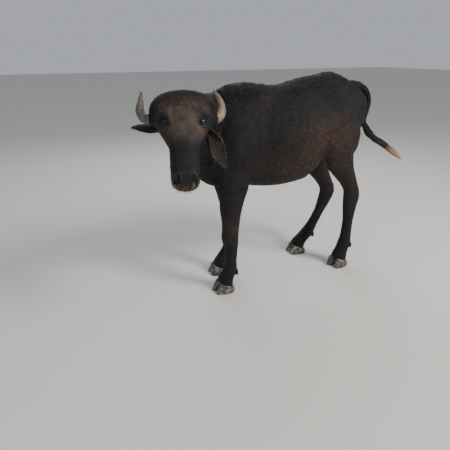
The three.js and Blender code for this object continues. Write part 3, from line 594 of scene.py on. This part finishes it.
def mixColour(tree, share, a, b, blend="MIX"):
    made = addNode(tree, "ShaderNodeMix", data_type="RGBA", blend_type=blend)
    for socket, value in ((made.inputs[0], share), (made.inputs[6], a), (made.inputs[7], b)):
        if hasattr(value, "links"):
            link(tree, value, socket)
        else:
            socket.default_value = (*value, 1) if isinstance(value, tuple) else value
    return made.outputs[2]


def maths(tree, operation, a, b=0.0):
    made = addNode(tree, "ShaderNodeMath", operation=operation)
    for socket, value in zip(made.inputs, (a, b)):
        if hasattr(value, "links"):
            link(tree, value, socket)
        else:
            socket.default_value = value
    return made.outputs[0]


def bump(tree, shader, height, strength, distance):
    made = addNode(tree, "ShaderNodeBump")
    made.inputs["Strength"].default_value = strength
    made.inputs["Distance"].default_value = distance
    link(tree, height, made.inputs["Height"])
    link(tree, made.outputs["Normal"], shader.inputs["Normal"])


coatColours = {
    # The near-black has a faint blue tint: a painted reflection of a blue sky on the shiny hair, over her
    # real black.
    "dark": (0.0042, 0.0043, 0.0058),
    "brown": (0.020, 0.012, 0.0095),
    "rust": (0.085, 0.047, 0.030),
    "brow": (0.078, 0.057, 0.046),
    "pad": (0.006, 0.006, 0.0075),
    "crumbs": (0.42, 0.27, 0.10),
    "earHair": (0.16, 0.12, 0.095),
    "tailTip": (0.36, 0.24, 0.15),
}


# Brown places, by middle and size along the body and up it, with their share and if on her left only.
brownSpots = [
    ((-0.61, 0.94), (0.19, 0.12), 0.75, True),  # flank
    ((-0.42, 0.78), (0.26, 0.09), 0.4, False),  # belly
    ((-0.2, 1.17), (0.05, 0.035), 0.4, True),  # shoulder
    ((0.02, 0.42), (0.09, 0.09), 0.4, True),  # forearm
    ((-0.87, 0.52), (0.1, 0.1), 0.2, False),  # hocks
]


# The share of brown and of forehead grey is kept on the mesh, so skin and coat carry the same marks.
def markings(points):
    local = toHead(points)
    x, y, z = points.T
    under = 1 - rise(z, 0.74, 1.02)
    under = under * rise(z, 0.5, 0.66) * (1 - headShare(points)) * (0.45 + 0.55 * rise(-x, 0.2, 0.6))
    patch = noise(points, 0.16, 21) * 0.12 + noise(points, 0.03, 22) * 0.22
    brown = 0.2 * under
    for (along, up), (length, height), share, leftOnly in brownSpots:
        spot = np.exp(-(((x - along) / length) ** 2 + ((z - up) / height) ** 2))
        brown = brown + share * (spot * (y > 0) if leftOnly else spot)
    brown = np.clip(brown + patch * (0.3 + brown), 0, 1)
    brow = rise(local[:, 2], -0.08, 0.0) * rise(local[:, 0], -0.02, 0.05)
    brow = brow * (1 - rise(local[:, 0], 0.17, 0.24))
    brow = brow * (1 - rise(np.abs(local[:, 1]), 0.09, 0.14)) * (points[:, 1] > 0.2)
    eyeFar = np.hypot(local[:, 0] - eyes["along"], np.abs(local[:, 1]) - eyes["out"] - 0.01)
    brow = brow * (0.15 + 0.85 * rise(eyeFar, 0.018, 0.042))
    brow = np.clip(brow * (0.8 + 0.5 * noise(points, 0.03, 23)), 0, 1)
    return brown, brow


def addLayer(obj, name, values):
    layer = obj.data.attributes.new(name, "FLOAT", "POINT")
    layer.data.foreach_set("value", np.asarray(values, np.float32))


def attribute(tree, name):
    return addNode(tree, "ShaderNodeAttribute", attribute_name=name).outputs["Fac"]


def coatColour(tree):
    brown = attribute(tree, "brown")
    brow = attribute(tree, "brow")
    points = objectPoints(tree)
    fine = noiseNode(tree, points, 260, 2)
    # The base near-black carries the painted blue sky reflection, here and on the skin.
    colour = mixColour(tree, brown, coatColours["dark"], coatColours["brown"])
    flecks = ramp(tree, fine, ((0.46, (0, 0, 0)), (0.6, (1, 1, 1))))
    colour = mixColour(tree, maths(tree, "MULTIPLY", brown, flecks), colour, coatColours["rust"])
    return mixColour(tree, brow, colour, coatColours["brow"]), points


def skinMaterial():
    material, tree, shader = newMaterial("Skin")
    colour, points = coatColour(tree)
    grain = noiseNode(tree, points, 420, 2, 0.7)
    shade = ramp(tree, grain, ((0.3, (0.5, 0.5, 0.5)), (0.75, (1.25, 1.2, 1.15))))
    colour = mixColour(tree, 1.0, colour, shade, "MULTIPLY")
    wet = attribute(tree, "wet")
    colour = mixColour(tree, wet, colour, coatColours["pad"])
    speck = noiseNode(tree, points, 190, 2, 0.6)
    crumbs = maths(tree, "MULTIPLY", attribute(tree, "crumbs"), maths(tree, "GREATER_THAN", speck, 0.585))
    colour = mixColour(tree, crumbs, colour, coatColours["crumbs"])
    link(tree, colour, shader.inputs["Base Color"])
    rough = maths(tree, "SUBTRACT", 0.66, maths(tree, "MULTIPLY", wet, 0.54))
    link(tree, rough, shader.inputs["Roughness"])
    shader.inputs["Specular IOR Level"].default_value = 0.3
    grains = maths(tree, "MULTIPLY", noiseNode(tree, points, 60, 3), 0.8)
    height = maths(tree, "ADD", noiseNode(tree, points, 330, 3, 0.65), grains)
    bump(tree, shader, height, 0.55, 0.004)
    return material


def coatMaterial(name, gloss, tint=None):
    material, tree, shader = newMaterial(name)
    colour, _ = coatColour(tree)
    shade = attribute(tree, "shade")
    tone = ramp(tree, shade, (
        (0.0, (0.4, 0.4, 0.4)), (0.55, (0.9, 0.88, 0.87)), (0.86, (1.6, 1.5, 1.45)), (1.0, (5.5, 4.4, 3.8))))
    colour = mixColour(tree, 1.0, colour, tone, "MULTIPLY")
    if tint:
        colour = mixColour(tree, attribute(tree, "pale"), colour, tint)
    link(tree, colour, shader.inputs["Base Color"])
    shader.inputs["Roughness"].default_value = gloss
    shader.inputs["Specular IOR Level"].default_value = 0.35
    return material


def hornMaterial(name, dark, pale):
    material, tree, shader = newMaterial(name)
    along = attribute(tree, "along")
    points = objectPoints(tree)
    mottled = noiseNode(tree, points, 45, 4, 0.6)
    colour = mixColour(tree, ramp(tree, mottled, ((0.35, (0, 0, 0)), (0.65, (1, 1, 1)))), dark, pale)
    colour = mixColour(tree, maths(tree, "MULTIPLY", along, 0.55), colour, (0.05, 0.042, 0.036))
    link(tree, colour, shader.inputs["Base Color"])
    shader.inputs["Roughness"].default_value = 0.5
    waves = maths(tree, "MULTIPLY", noiseNode(tree, points, 30, 2), 1.5)
    height = maths(tree, "ADD", noiseNode(tree, points, 160, 3), waves)
    bump(tree, shader, height, 0.4, 0.002)
    return material


def hoofMaterial():
    material, tree, shader = newMaterial("Hoof")
    points = objectPoints(tree)
    mud = noiseNode(tree, points, 38, 5, 0.65)
    colour = ramp(tree, mud, (
        (0.38, (0.03, 0.028, 0.027)), (0.55, (0.11, 0.10, 0.088)), (0.68, (0.5, 0.46, 0.40))))
    link(tree, colour, shader.inputs["Base Color"])
    rough = ramp(tree, mud, ((0.35, (0.38, 0.38, 0.38)), (0.65, (0.8, 0.8, 0.8))))
    link(tree, rough, shader.inputs["Roughness"])
    bump(tree, shader, noiseNode(tree, points, 200, 3), 0.35, 0.0015)
    return material


def eyeMaterial(name, side):
    material, tree, shader = newMaterial(name)
    centre, along, over, out = eyeFrame(side)
    middle = fromHead(centre) + shift
    gazeWay = fromHead(out) - poll
    alongWay = fromHead(along) - poll
    off = addNode(tree, "ShaderNodeVectorMath", operation="SUBTRACT")
    off.inputs[1].default_value = tuple(middle)
    link(tree, objectPoints(tree), off.inputs[0])
    dots = []
    for way in (gazeWay, alongWay):
        dot = addNode(tree, "ShaderNodeVectorMath", operation="DOT_PRODUCT")
        dot.inputs[1].default_value = tuple(way / eyes["radius"])
        link(tree, off.outputs[0], dot.inputs[0])
        dots.append(dot.outputs["Value"])
    aside = maths(tree, "MULTIPLY", maths(tree, "MULTIPLY", dots[1], dots[1]), 0.12)
    front = maths(tree, "ADD", dots[0], aside)
    streaks = noiseNode(tree, objectPoints(tree), 900, 2)
    colour = ramp(tree, maths(tree, "ADD", front, maths(tree, "MULTIPLY", streaks, 0.03)), (
        (0.70, (0.16, 0.12, 0.10)), (0.76, (0.02, 0.012, 0.008)),
        (0.86, (0.045, 0.022, 0.010)), (0.955, (0.002, 0.002, 0.002))))
    link(tree, colour, shader.inputs["Base Color"])
    shader.inputs["Roughness"].default_value = 0.1
    shader.inputs["Specular IOR Level"].default_value = 0.35
    shader.inputs["Coat Weight"].default_value = 0.25
    shader.inputs["Coat Roughness"].default_value = 0.03
    return material


skinLook = skinMaterial()
skinObject = newMesh("Skin", skinPoints + shift, skinFaces, skinLook)
brown, brow = markings(skinPoints)
addLayer(skinObject, "brown", brown)
addLayer(skinObject, "brow", brow)


# The bare wet pad of the nose and lips, and the wet rims of the lids.
def wetShare(points):
    local = toHead(points)
    pad = rise(local[:, 0], 0.338, 0.362) * (np.abs(local[:, 1]) < 0.09) * (local[:, 2] > -0.2)
    pad = pad * (points[:, 1] > 0.3) * (1 - rise(-local[:, 2], 0.10, 0.13))
    for side in (1, -1):
        near = np.linalg.norm(local - eyeFrame(side)[0], axis=1)
        pad = np.maximum(pad, 0.6 * (1 - rise(near, 0.0215, 0.027)))
    return pad


addLayer(skinObject, "wet", wetShare(skinPoints))
local = toHead(skinPoints)
crumbs = rise(local[:, 0], 0.365, 0.385) * rise(-local[:, 2], 0.055, 0.075)
crumbs = crumbs * (1 - rise(-local[:, 2], 0.12, 0.135))
addLayer(skinObject, "crumbs", crumbs * (skinPoints[:, 1] > 0.3) * (np.abs(local[:, 1]) < 0.06))
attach(skinObject, "root")
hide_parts(*fleshNames, "ear_left", "ear_right")
print("skin made")

# Eyes stay as they are and get a wet look.
for word, side in (("left", 1), ("right", -1)):
    obj = nodes["eye_" + word]
    obj.data.materials.clear()
    obj.data.materials.append(eyeMaterial("Eye_" + word, side))
    obj.data.polygons.foreach_set("use_smooth", np.full(len(obj.data.polygons), True))


# Places on an unwrap of the skin: each region is rolled off its own axis into its own tile.
def unrolled(local, low, high, tile, size):
    angle = np.arctan2(local[:, 1], local[:, 2]) / (2 * np.pi) + 0.5
    along = np.clip((local[:, 0] - low) / (high - low), 0, 1)
    return np.stack([tile[0] + size * (0.02 + 0.96 * angle), tile[1] + size * (0.02 + 0.96 * along)], 1)


def skinMap(points):
    x, y, z = points.T
    inHead = headShare(points) > 0.3
    upright = np.stack([x, y, z - 0.97], 1)
    places = unrolled(upright, -1.1, 0.1, (0, 0), 0.5)
    neckLocal = np.stack([y + 0.25 * x, x - 0.16 - 0.3 * y, z - 1.02], 1)
    inNeck = (x > 0.03) & (z > 0.7) & ~inHead
    places[inNeck] = unrolled(neckLocal[inNeck], -0.25, 0.45, (0.5, 0.5), 0.25)
    places[inHead] = unrolled(toHead(points)[inHead] + (0, 0, 0.07), -0.12, 0.44, (0.5, 0), 0.5)
    for i, line in enumerate(legs.values()):
        line = np.array(line)
        onLeg = (z < 0.68) & (y * line[1, 1] > 0) & ((x > -0.5) == (line[1, 0] > -0.5))
        onLeg &= ~inHead & (x > -1.0)
        middle = np.stack([np.interp(z, line[::-1, 2], line[::-1, axis]) for axis in (0, 1)], 1)
        local = np.stack([z, y - middle[:, 1], x - middle[:, 0]], 1)
        places[onLeg] = unrolled(local[onLeg], 0.0, 0.7, (0.25 * (i % 2), 0.5 + 0.25 * (i // 2)), 0.25)
    onTail = x < -0.99
    local = np.stack([z, y, x + 1.05], 1)
    places[onTail] = unrolled(local[onTail], 0.65, 1.25, (0.5, 0.75), 0.25)
    return places


# The lie of the coat: back and down on the body, down the legs, and out from the brow on the face.
def coatFlow(points):
    x, y, z = points.T
    flow = np.tile((-0.86, 0.0, -0.5), (len(points), 1))
    inNeck = (rise(x, 0.0, 0.12) * rise(z, 0.68, 0.76))[:, None]
    flow = flow * (1 - inNeck) + unit(np.tile((-0.55, -0.5, -0.62), (len(points), 1))) * inNeck
    onLeg = legShare(points)[:, None]
    flow = flow * (1 - onLeg) + np.array([-0.12, 0, -1]) * onLeg
    onTail = rise(-x, 0.97, 1.02)[:, None]
    flow = flow * (1 - onTail) + np.array([-0.2, 0.1, -1]) * onTail
    local = toHead(points)
    brow = local - (0.085, 0, 0.0)
    inHead = (headShare(points) > 0.3)[:, None]
    flow = np.where(inHead, unit(brow) @ headAxes, flow)
    swirl = np.stack([noise(points, 0.07, seed) for seed in (31, 32, 33)], 1)
    return unit(flow + 0.35 * swirl)


# Each ear's root, tip and the way that its cup opens, in the head's frame.
cupSides = {
    1: {"root": (0.088, 0.098, -0.114), "tip": (0.226, 0.180, -0.192), "facing": (0.1, 0.5, 0.86)},
    -1: {"root": (0.058, -0.098, -0.116), "tip": (0.014, -0.232, -0.200), "facing": (0.85, 0.05, -0.52)},
}


def earLie(points):
    lie = [unit(np.array(cupSides[side]["tip"]) - cupSides[side]["root"]) @ headAxes for side in (1, -1)]
    return np.where((toHead(points)[:, 1] > 0)[:, None], lie[0], lie[1])


def onSurface(flow, normals):
    return unit(flow - normals * (flow * normals).sum(1)[:, None])


# Roots spread evenly over the faces that a weight picks out.
def scattered(points, faces, normals, weight, count, rng):
    corners = points[faces]
    area = np.linalg.norm(np.cross(corners[:, 1] - corners[:, 0], corners[:, 2] - corners[:, 0]), axis=1)
    chance = area * weight
    ladder = np.cumsum(chance)
    picks = (np.arange(count) + rng.random(count)) / count * ladder[-1]
    chosen = np.minimum(np.searchsorted(ladder, picks), len(faces) - 1)
    a, b = rng.random(count), rng.random(count)
    fold = a + b > 1
    a[fold], b[fold] = 1 - a[fold], 1 - b[fold]
    shares = np.stack([1 - a - b, a, b], 1)[:, :, None]
    return (corners[chosen] * shares).sum(1), unit((normals[faces[chosen]] * shares).sum(1))


# The faces of one three-sided tuft, from its closed root to its tip.
def tuftFaces(steps):
    faces = [(0, 1, 2)]
    for step in range(steps - 1):
        for k in range(3):
            a, b = step * 3 + k, step * 3 + (k + 1) % 3
            faces += [(a, a + 3, b), (b, a + 3, b + 3)]
    last = (steps - 1) * 3
    faces += [(last + k, last + 3, last + (k + 1) % 3) for k in range(3)]
    return np.array(faces)


def repeatedFaces(faces, count, each):
    return (faces[None] + (np.arange(count) * each)[:, None, None]).reshape(-1, 3)


# Tapered three-sided tufts. Each follows its own lie, and its root is sunk in the skin.
def tufts(roots, normals, flow, size, rng):
    count = len(roots)
    steps = size["steps"]
    length = size["length"] * (0.7 + 0.6 * rng.random(count)) * size.get("scale", np.ones(count))
    width = size["width"] * (0.75 + 0.5 * rng.random(count))
    lift = size["lift"] * (0.3 + 1.4 * rng.random(count)) * size.get("scale", np.ones(count))
    yaw = size["yaw"] * rng.standard_normal(count)
    across = np.cross(normals, flow)
    flow = flow * np.cos(yaw)[:, None] + across * np.sin(yaw)[:, None]
    across = np.cross(normals, flow)
    phase = rng.random(count) * 2 * np.pi
    rings = []
    for step in range(steps + 1):
        share = step / steps
        rose = -size["sunk"] + (lift + size["sunk"]) * (1.7 * share - 0.7 * share * share)
        sway = size["curl"] * length * (np.sin(phase + share * size["turns"] * 2 * np.pi) - np.sin(phase))
        middle = roots + flow * (length * share)[:, None] + normals * rose[:, None] + across * sway[:, None]
        if step == steps:
            rings.append(middle[:, None])
            break
        half = (width * (1 - share) ** 0.55 * 0.5)[:, None]
        top = normals * (size["thick"] * (1 - share))
        rings.append(np.stack([middle - across * half, middle + across * half, middle + top], 1))
    points = np.concatenate(rings, 1)
    faces = tuftFaces(steps)
    each = points.shape[1]
    one = points[0]
    outward = np.einsum("ij,ij->i", one[faces[:, 0]] - one.mean(0), np.cross(
        one[faces[:, 1]] - one[faces[:, 0]], one[faces[:, 2]] - one[faces[:, 0]])).sum()
    if outward < 0:
        faces = faces[:, ::-1]
    return points.reshape(-1, 3), repeatedFaces(faces, count, each), each


# A coat piece with its marks, its shades and its places on the skin's unwrap.
def coatPiece(name, roots, made, material, rng, extra=None):
    points, faces, each = made
    obj = newMesh(name, points + shift, faces, material)
    count = len(roots)
    brown, brow = markings(roots)
    addLayer(obj, "brown", np.repeat(brown, each))
    addLayer(obj, "brow", np.repeat(brow, each))
    shade = np.repeat(rng.random(count), each)
    addLayer(obj, "shade", shade)
    for layerName, values in (extra or {}).items():
        addLayer(obj, layerName, np.repeat(values, each))
    places = np.repeat(skinMap(roots), each, 0)
    spread = np.stack([np.arange(each) % 3 - 1, np.arange(each) // 3 - 1], 1) * 0.0012
    places = places + np.tile(spread, (count, 1))
    layer = obj.data.uv_layers.new(name="OFBake")
    layer.data.foreach_set("uv", places[faces.ravel()].astype(np.float32).ravel())
    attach(obj, "root")
    print(name, len(faces))
    return obj


coat = {"length": 0.0135, "width": 0.0037, "thick": 0.0007, "lift": 0.0018, "sunk": 0.0012, "yaw": 0.16,
        "curl": 0.03, "turns": 0.5, "steps": 2}
coatRegions = {
    "CoatShoulder": {"count": 16500}, "CoatBarrel": {"count": 16500}, "CoatRump": {"count": 16500},
    "CoatNeck": {"count": 17500, "length": 0.0145}, "CoatForelegs": {"count": 11000, "length": 0.0095},
    "CoatHindlegs": {"count": 13500, "length": 0.0095},
    "CoatHead": {"count": 17500, "length": 0.0064, "width": 0.0019, "lift": 0.0008},
    "CoatDome": {"count": 12000, "length": 0.0135, "width": 0.0022, "lift": 0.0065, "steps": 3, "curl": 0.16,
                 "turns": 0.8, "yaw": 0.9},
    "CoatEars": {"count": 4500, "length": 0.009, "width": 0.0018, "lift": 0.0009},
}

skinNormals = normalsOf(skinPoints, skinFaces)
faceMiddle = skinPoints[skinFaces].mean(1)
earStart = len(skinPoints) - sum(len(points) for points, _ in earParts.values())
isEar = skinFaces[:, 0] >= earStart


def domeShare(points):
    local = toHead(points)
    edge = local[:, 0] + 0.02 * noise(points, 0.03, 71)
    return (headShare(points) > 0.3) * (1 - rise(edge, 0.01, 0.105)) * rise(local[:, 2], -0.13, -0.08)


# How much each face carries of each coat region.
def regionWeights(points):
    x, y, z = points.T
    inHead = headShare(points) > 0.3
    legged = (z < 0.66) & ~inHead
    body = ~inHead & ~legged & ~isEar
    bare = 1 - np.clip(wetShare(points) * 1.6, 0, 1)
    dome = domeShare(points)
    weights = {
        "CoatNeck": body & (x > 0.03),
        "CoatShoulder": body & (x <= 0.03) & (x > -0.3),
        "CoatBarrel": body & (x <= -0.3) & (x > -0.62),
        "CoatRump": body & (x <= -0.62),
        "CoatForelegs": legged & (x > -0.5) & ~isEar,
        "CoatHindlegs": legged & (x <= -0.5) & ~isEar,
        "CoatHead": (inHead & ~isEar) * bare * (1 - 0.8 * dome),
        "CoatDome": (~isEar) * dome,
        "CoatEars": isEar,
    }
    return {name: np.asarray(weight, float) for name, weight in weights.items()}


# Hair is longest on the crest and withers, and a little longer along the belly.
def hairScale(points):
    x, y, z = points.T
    crest = rise(x, -0.3, -0.1) * rise(z, 1.12, 1.22) * (1 - (headShare(points) > 0.3))
    back = rise(z, 1.16, 1.22)
    belly = (1 - rise(z, 0.66, 0.72)) * (1 - legShare(points))
    nose = rise(toHead(points)[:, 0], 0.2, 0.34) * (headShare(points) > 0.3)
    return (1 + 1.3 * crest + 0.3 * back + 0.6 * belly) * (1 - 0.45 * nose)


coatLook = coatMaterial("Coat", 0.5)
weights = regionWeights(faceMiddle)
for seed, (name, changes) in enumerate(coatRegions.items()):
    rng = np.random.default_rng(100 + seed)
    size = {**coat, **changes}
    roots, normals = scattered(skinPoints, skinFaces, skinNormals, weights[name], size.pop("count"), rng)
    size["scale"] = hairScale(roots)
    if name == "CoatDome":
        size["scale"] = 1 - 0.6 * rise(toHead(roots)[:, 0], 0.0, 0.09)
    flow = onSurface(earLie(roots) if name == "CoatEars" else coatFlow(roots), normals)
    made = tufts(roots, normals, flow, size, rng)
    coatPiece(name, roots, made, coatLook, rng)

# Long pale hair inside the cups of the ears.
cupHair = {"counts": {1: 650, -1: 250}, "length": 0.026, "width": 0.0016, "lift": 0.004, "yaw": 0.12,
           "steps": 3, "opening": 0.25, "seed": 131}
cupLook = coatMaterial("CupHair", 0.55, coatColours["earHair"])
cupOpen = fromHead([cupSides[side]["facing"] for side in (1, -1)]) - poll
middleSide = toHead(faceMiddle)[:, 1] > 0
corners = skinPoints[skinFaces]
faceNormals = unit(np.cross(corners[:, 1] - corners[:, 0], corners[:, 2] - corners[:, 0]))
cupRoots, cupNormals = [], []
rng = np.random.default_rng(cupHair["seed"])
for side, opening in zip((1, -1), cupOpen):
    inside = isEar & (middleSide == (side > 0)) & (faceNormals @ unit(opening) > cupHair["opening"])
    some, away = scattered(
        skinPoints, skinFaces, skinNormals, inside.astype(float), cupHair["counts"][side], rng)
    cupRoots.append(some)
    cupNormals.append(away)
roots, normals = np.concatenate(cupRoots), np.concatenate(cupNormals)
made = tufts(roots, normals, onSurface(earLie(roots), normals), {**coat, **cupHair}, rng)
coatPiece("CoatCups", roots, made, cupLook, rng, {"pale": rng.random(len(roots)) ** 1.5})

# Whiskers on the lips and chin, and lashes on the upper lids.
whiskers = {"count": 320, "length": 0.017, "width": 0.0006, "thick": 0.0004, "lift": 0.010, "yaw": 0.6,
            "steps": 3, "curl": 0.06}
local = toHead(faceMiddle)
lipWeight = rise(local[:, 0], 0.31, 0.36) * rise(-local[:, 2], 0.075, 0.10)
lipWeight = lipWeight * (~isEar) * (faceMiddle[:, 1] > 0.3) * (np.abs(local[:, 1]) < 0.09)
roots, normals = scattered(skinPoints, skinFaces, skinNormals, lipWeight, whiskers["count"], rng)
made = tufts(roots, normals, onSurface(coatFlow(roots), normals), {**coat, **whiskers}, rng)
coatPiece("Whiskers", roots, made, coatLook, rng)
lashes = {"count": 70, "length": 0.010, "width": 0.0007, "thick": 0.0004, "lift": 0.006, "yaw": 0.15,
          "steps": 3, "curl": 0.05}
lashRoots, lashNormals, lashFlow = [], [], []
for side in (1, -1):
    centre, along, over, out = eyeFrame(side)
    angles = np.linspace(0.12, 0.88, lashes["count"]) * np.pi
    a, o = almond(angles, 0.0016)
    f = np.sqrt((eyes["radius"] + 0.002) ** 2 - a ** 2 - o ** 2)
    place = centre + a[:, None] * along + o[:, None] * over + f[:, None] * out
    lashRoots.append(fromHead(place))
    lashNormals.append(fromHead(unit(over + 0.2 * out)[None].repeat(len(a), 0)) - poll)
    lashFlow.append(fromHead(unit(place - centre + 0.012 * out)) - poll)
roots, normals = np.concatenate(lashRoots), np.concatenate(lashNormals)
made = tufts(roots, normals, onSurface(np.concatenate(lashFlow), normals), {**coat, **lashes}, rng)
coatPiece("Lashes", roots, made, coatLook, rng)


# Horns with growth rings that fade towards the tip.
horns = {"voxel": 0.0020, "ring": 0.0082, "depth": 0.0006, "uneven": 0.0014,
         # The left horn's tones are paler than the right's: painted light on the left horn and painted shade
         # on the right, over one dark horn colour.
         "left": ((0.16, 0.105, 0.065), (0.34, 0.24, 0.155)),
         "right": ((0.045, 0.036, 0.032), (0.16, 0.125, 0.10))}
hornPaths = {
    1: [(0.058, 0.148, -0.070), (0.034, 0.173, -0.083), (-0.014, 0.185, -0.094), (-0.068, 0.178, -0.098),
        (-0.124, 0.152, -0.098)],
    -1: [(0.056, 0.150, -0.070), (0.038, 0.185, -0.083), (-0.004, 0.206, -0.093), (-0.056, 0.204, -0.098),
         (-0.118, 0.201, -0.100)],
}


def alongPath(points, path):
    path = np.asarray(path, float)
    steps = np.linalg.norm(np.diff(path, axis=0), axis=1)
    starts = np.concatenate([[0], np.cumsum(steps)])
    best, where = np.full(len(points), 9.0), np.zeros(len(points))
    for i, (a, b) in enumerate(zip(path[:-1], path[1:])):
        share = np.clip((points - a) @ (b - a) / steps[i] ** 2, 0, 1)
        far = np.linalg.norm(points - a - share[:, None] * (b - a), axis=1)
        closer = far < best
        best = np.where(closer, far, best)
        where = np.where(closer, starts[i] + share * steps[i], where)
    return where, starts[-1]


for word, side in (("left", 1), ("right", -1)):
    points, quads = refinedNode("horn_" + word, horns["voxel"], 5)
    local = toHead(points) * (1, side, 1)
    run, total = alongPath(local, hornPaths[side])
    share = run / total
    away = normalsOf(points, quads)
    ripple = np.cos(2 * np.pi * (run + 0.0015 * noise(points, 0.02, 41)) / horns["ring"])
    push = horns["depth"] * ripple * (1 - rise(share, 0.35, 0.8)) + horns["uneven"] * noise(points, 0.012, 42)
    points = points + away * push[:, None]
    hornLook = hornMaterial("Horn_" + word, *horns[word])
    horn = newMesh("Horn_" + word, points + shift, triangles(quads), hornLook)
    addLayer(horn, "along", share)
    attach(horn, "root")
    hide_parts("horn_" + word)
print("horns made")

# Claws with growth rings round the wall.
claws = {"voxel": 0.0022, "ring": 0.0065, "depth": 0.00035, "uneven": 0.0007}
hoofLook = hoofMaterial()
for leg in ("foreclaw_left", "foreclaw_right", "hindclaw_left", "hindclaw_right"):
    for place in ("inner", "outer"):
        name = leg + "_" + place
        points, quads = refinedNode(name, claws["voxel"], 3)
        away = normalsOf(points, quads)
        push = claws["depth"] * np.cos(2 * np.pi * points[:, 2] / claws["ring"])
        push = (push + claws["uneven"] * noise(points, 0.016, 51)) * rise(points[:, 2], 0.001, 0.006)
        points = points + away * push[:, None]
        points[:, 2] = np.maximum(points[:, 2], 0)
        nail = newMesh("Nail_" + name, points + shift, triangles(quads), hoofLook)
        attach(nail, "root")
        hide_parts(name)
print("claws made")

# The switch of the tail: a core of matted hair with long strands that draw together at the tip.
switch = {"voxel": 0.0028, "count": 1500, "length": (0.10, 0.19), "width": 0.0034, "thick": 0.0012,
          "steps": 6, "paleFrom": 0.62, "sway": 0.0035, "seed": 62}
switchPath = np.array([
    (-1.020, 0.054, 0.952), (-1.052, 0.068, 0.900), (-1.110, 0.080, 0.856),
    (-1.222, 0.092, 0.796), (-1.300, 0.098, 0.742), (-1.352, 0.102, 0.700)])
joint = [ballAt(np.array(place) + shift, 0.0145) for place in (
    (-1.0195, 0.051, 0.968), (-1.020, 0.054, 0.954), (-1.026, 0.057, 0.940), (-1.034, 0.061, 0.927))]
core, coreQuads = refinedNode("tail_switch", switch["voxel"], 8, -0.001, joint)
coreFaces = triangles(coreQuads)


def palePart(points):
    run, total = alongPath(points, switchPath)
    share = run / total + 0.06 * noise(points, 0.02, 61)
    return rise(share, switch["paleFrom"] - 0.1, switch["paleFrom"] + 0.14)


switchLook = coatMaterial("TailHair", 0.5, coatColours["tailTip"])
coreObject = newMesh("TailCore", core + shift, coreFaces, switchLook)
addLayer(coreObject, "pale", palePart(core))
addLayer(coreObject, "shade", np.full(len(core), 0.2))
addLayer(coreObject, "brown", np.full(len(core), 0.1))
addLayer(coreObject, "brow", np.zeros(len(core)))
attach(coreObject, "root")
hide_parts("tail_switch")

rng = np.random.default_rng(switch["seed"])
coreNormals = normalsOf(core, coreFaces)
roots, normals = scattered(core, coreFaces, coreNormals, np.ones(len(coreFaces)), switch["count"], rng)
run, total = alongPath(roots, switchPath)
keep = run / total < 0.9
roots, normals, run = roots[keep], normals[keep], run[keep]
spine = np.concatenate([[0], np.cumsum(np.linalg.norm(np.diff(switchPath, axis=0), axis=1))])


def onSpine(distance):
    return np.stack([np.interp(distance, spine, switchPath[:, axis]) for axis in range(3)], 1)


count = len(roots)
reach = rng.uniform(*switch["length"], count)
reach = np.minimum(reach, total - run - 0.004)
offset = roots - onSpine(run)
rings = []
wave = rng.random(count) * 6.28
ahead = unit(onSpine(run + 0.01) - onSpine(run - 0.01))
across = unit(np.cross(ahead, offset))
away = unit(np.cross(across, ahead))
steps = switch["steps"]
for step in range(steps + 1):
    share = step / steps
    centre = onSpine(run + reach * share)
    draw = 1 - 0.75 * (run + reach * share) / total * share
    swell = 1 + 0.35 * math.sin(share * math.pi)
    middle = centre + offset * (draw * swell)[:, None]
    middle = middle + across * (switch["sway"] * np.sin(wave + share * 5.0))[:, None] * share
    if step == steps:
        rings.append(middle[:, None])
        break
    half = switch["width"] * (1 - share) ** 0.5 * 0.5
    top = away * switch["thick"] * (1 - share)
    rings.append(np.stack([middle - across * half, middle + across * half, middle + top], 1))
points = np.concatenate(rings, 1)
each = points.shape[1]
every = repeatedFaces(tuftFaces(steps)[:, ::-1], count, each)
strands = coatPiece("TailStrands", roots, (points.reshape(-1, 3), every, each), switchLook, rng)
addLayer(strands, "pale", palePart(points.reshape(-1, 3)))
print("tail made")

# Floor and light.
light = {"key": 330, "fill": 40, "rim": 90, "world": 0.5}
floorMaterial, tree, shader = newMaterial("Floor")
shader.inputs["Base Color"].default_value = (0.62, 0.60, 0.57, 1)
shader.inputs["Roughness"].default_value = 0.9
floorPoints = np.array([(-30, -30, 0), (30, -30, 0), (30, 30, 0), (-30, 30, 0)], float)
floor = newMesh("Floor", floorPoints, np.array([[0, 1, 2, 3]]), floorMaterial, smooth=False)


def areaLight(name, place, aim, power, size, colour):
    data = bpy.data.lights.new(name, "AREA")
    data.energy = power
    data.size = size
    data.color = colour
    obj = bpy.data.objects.new(name, data)
    bpy.context.scene.collection.objects.link(obj)
    obj.location = place
    obj.rotation_euler = (Vector(aim) - Vector(place)).to_track_quat("-Z", "Y").to_euler()


areaLight("Key", (-2.2, 3.6, 4.2), (0, 0, 0.7), light["key"], 1.6, (1.0, 0.95, 0.88))
areaLight("Fill", (3.6, 2.6, 2.4), (0.3, 0, 0.8), light["fill"], 3.0, (0.92, 0.96, 1.0))
areaLight("Rim", (-1.0, -3.6, 3.4), (0, 0, 0.9), light["rim"], 2.5, (0.9, 0.95, 1.0))
world = bpy.data.worlds.new("World")
bpy.context.scene.world = world
world.use_nodes = True
world.node_tree.nodes["Background"].inputs["Color"].default_value = (0.86, 0.9, 0.96, 1)
world.node_tree.nodes["Background"].inputs["Strength"].default_value = light["world"]
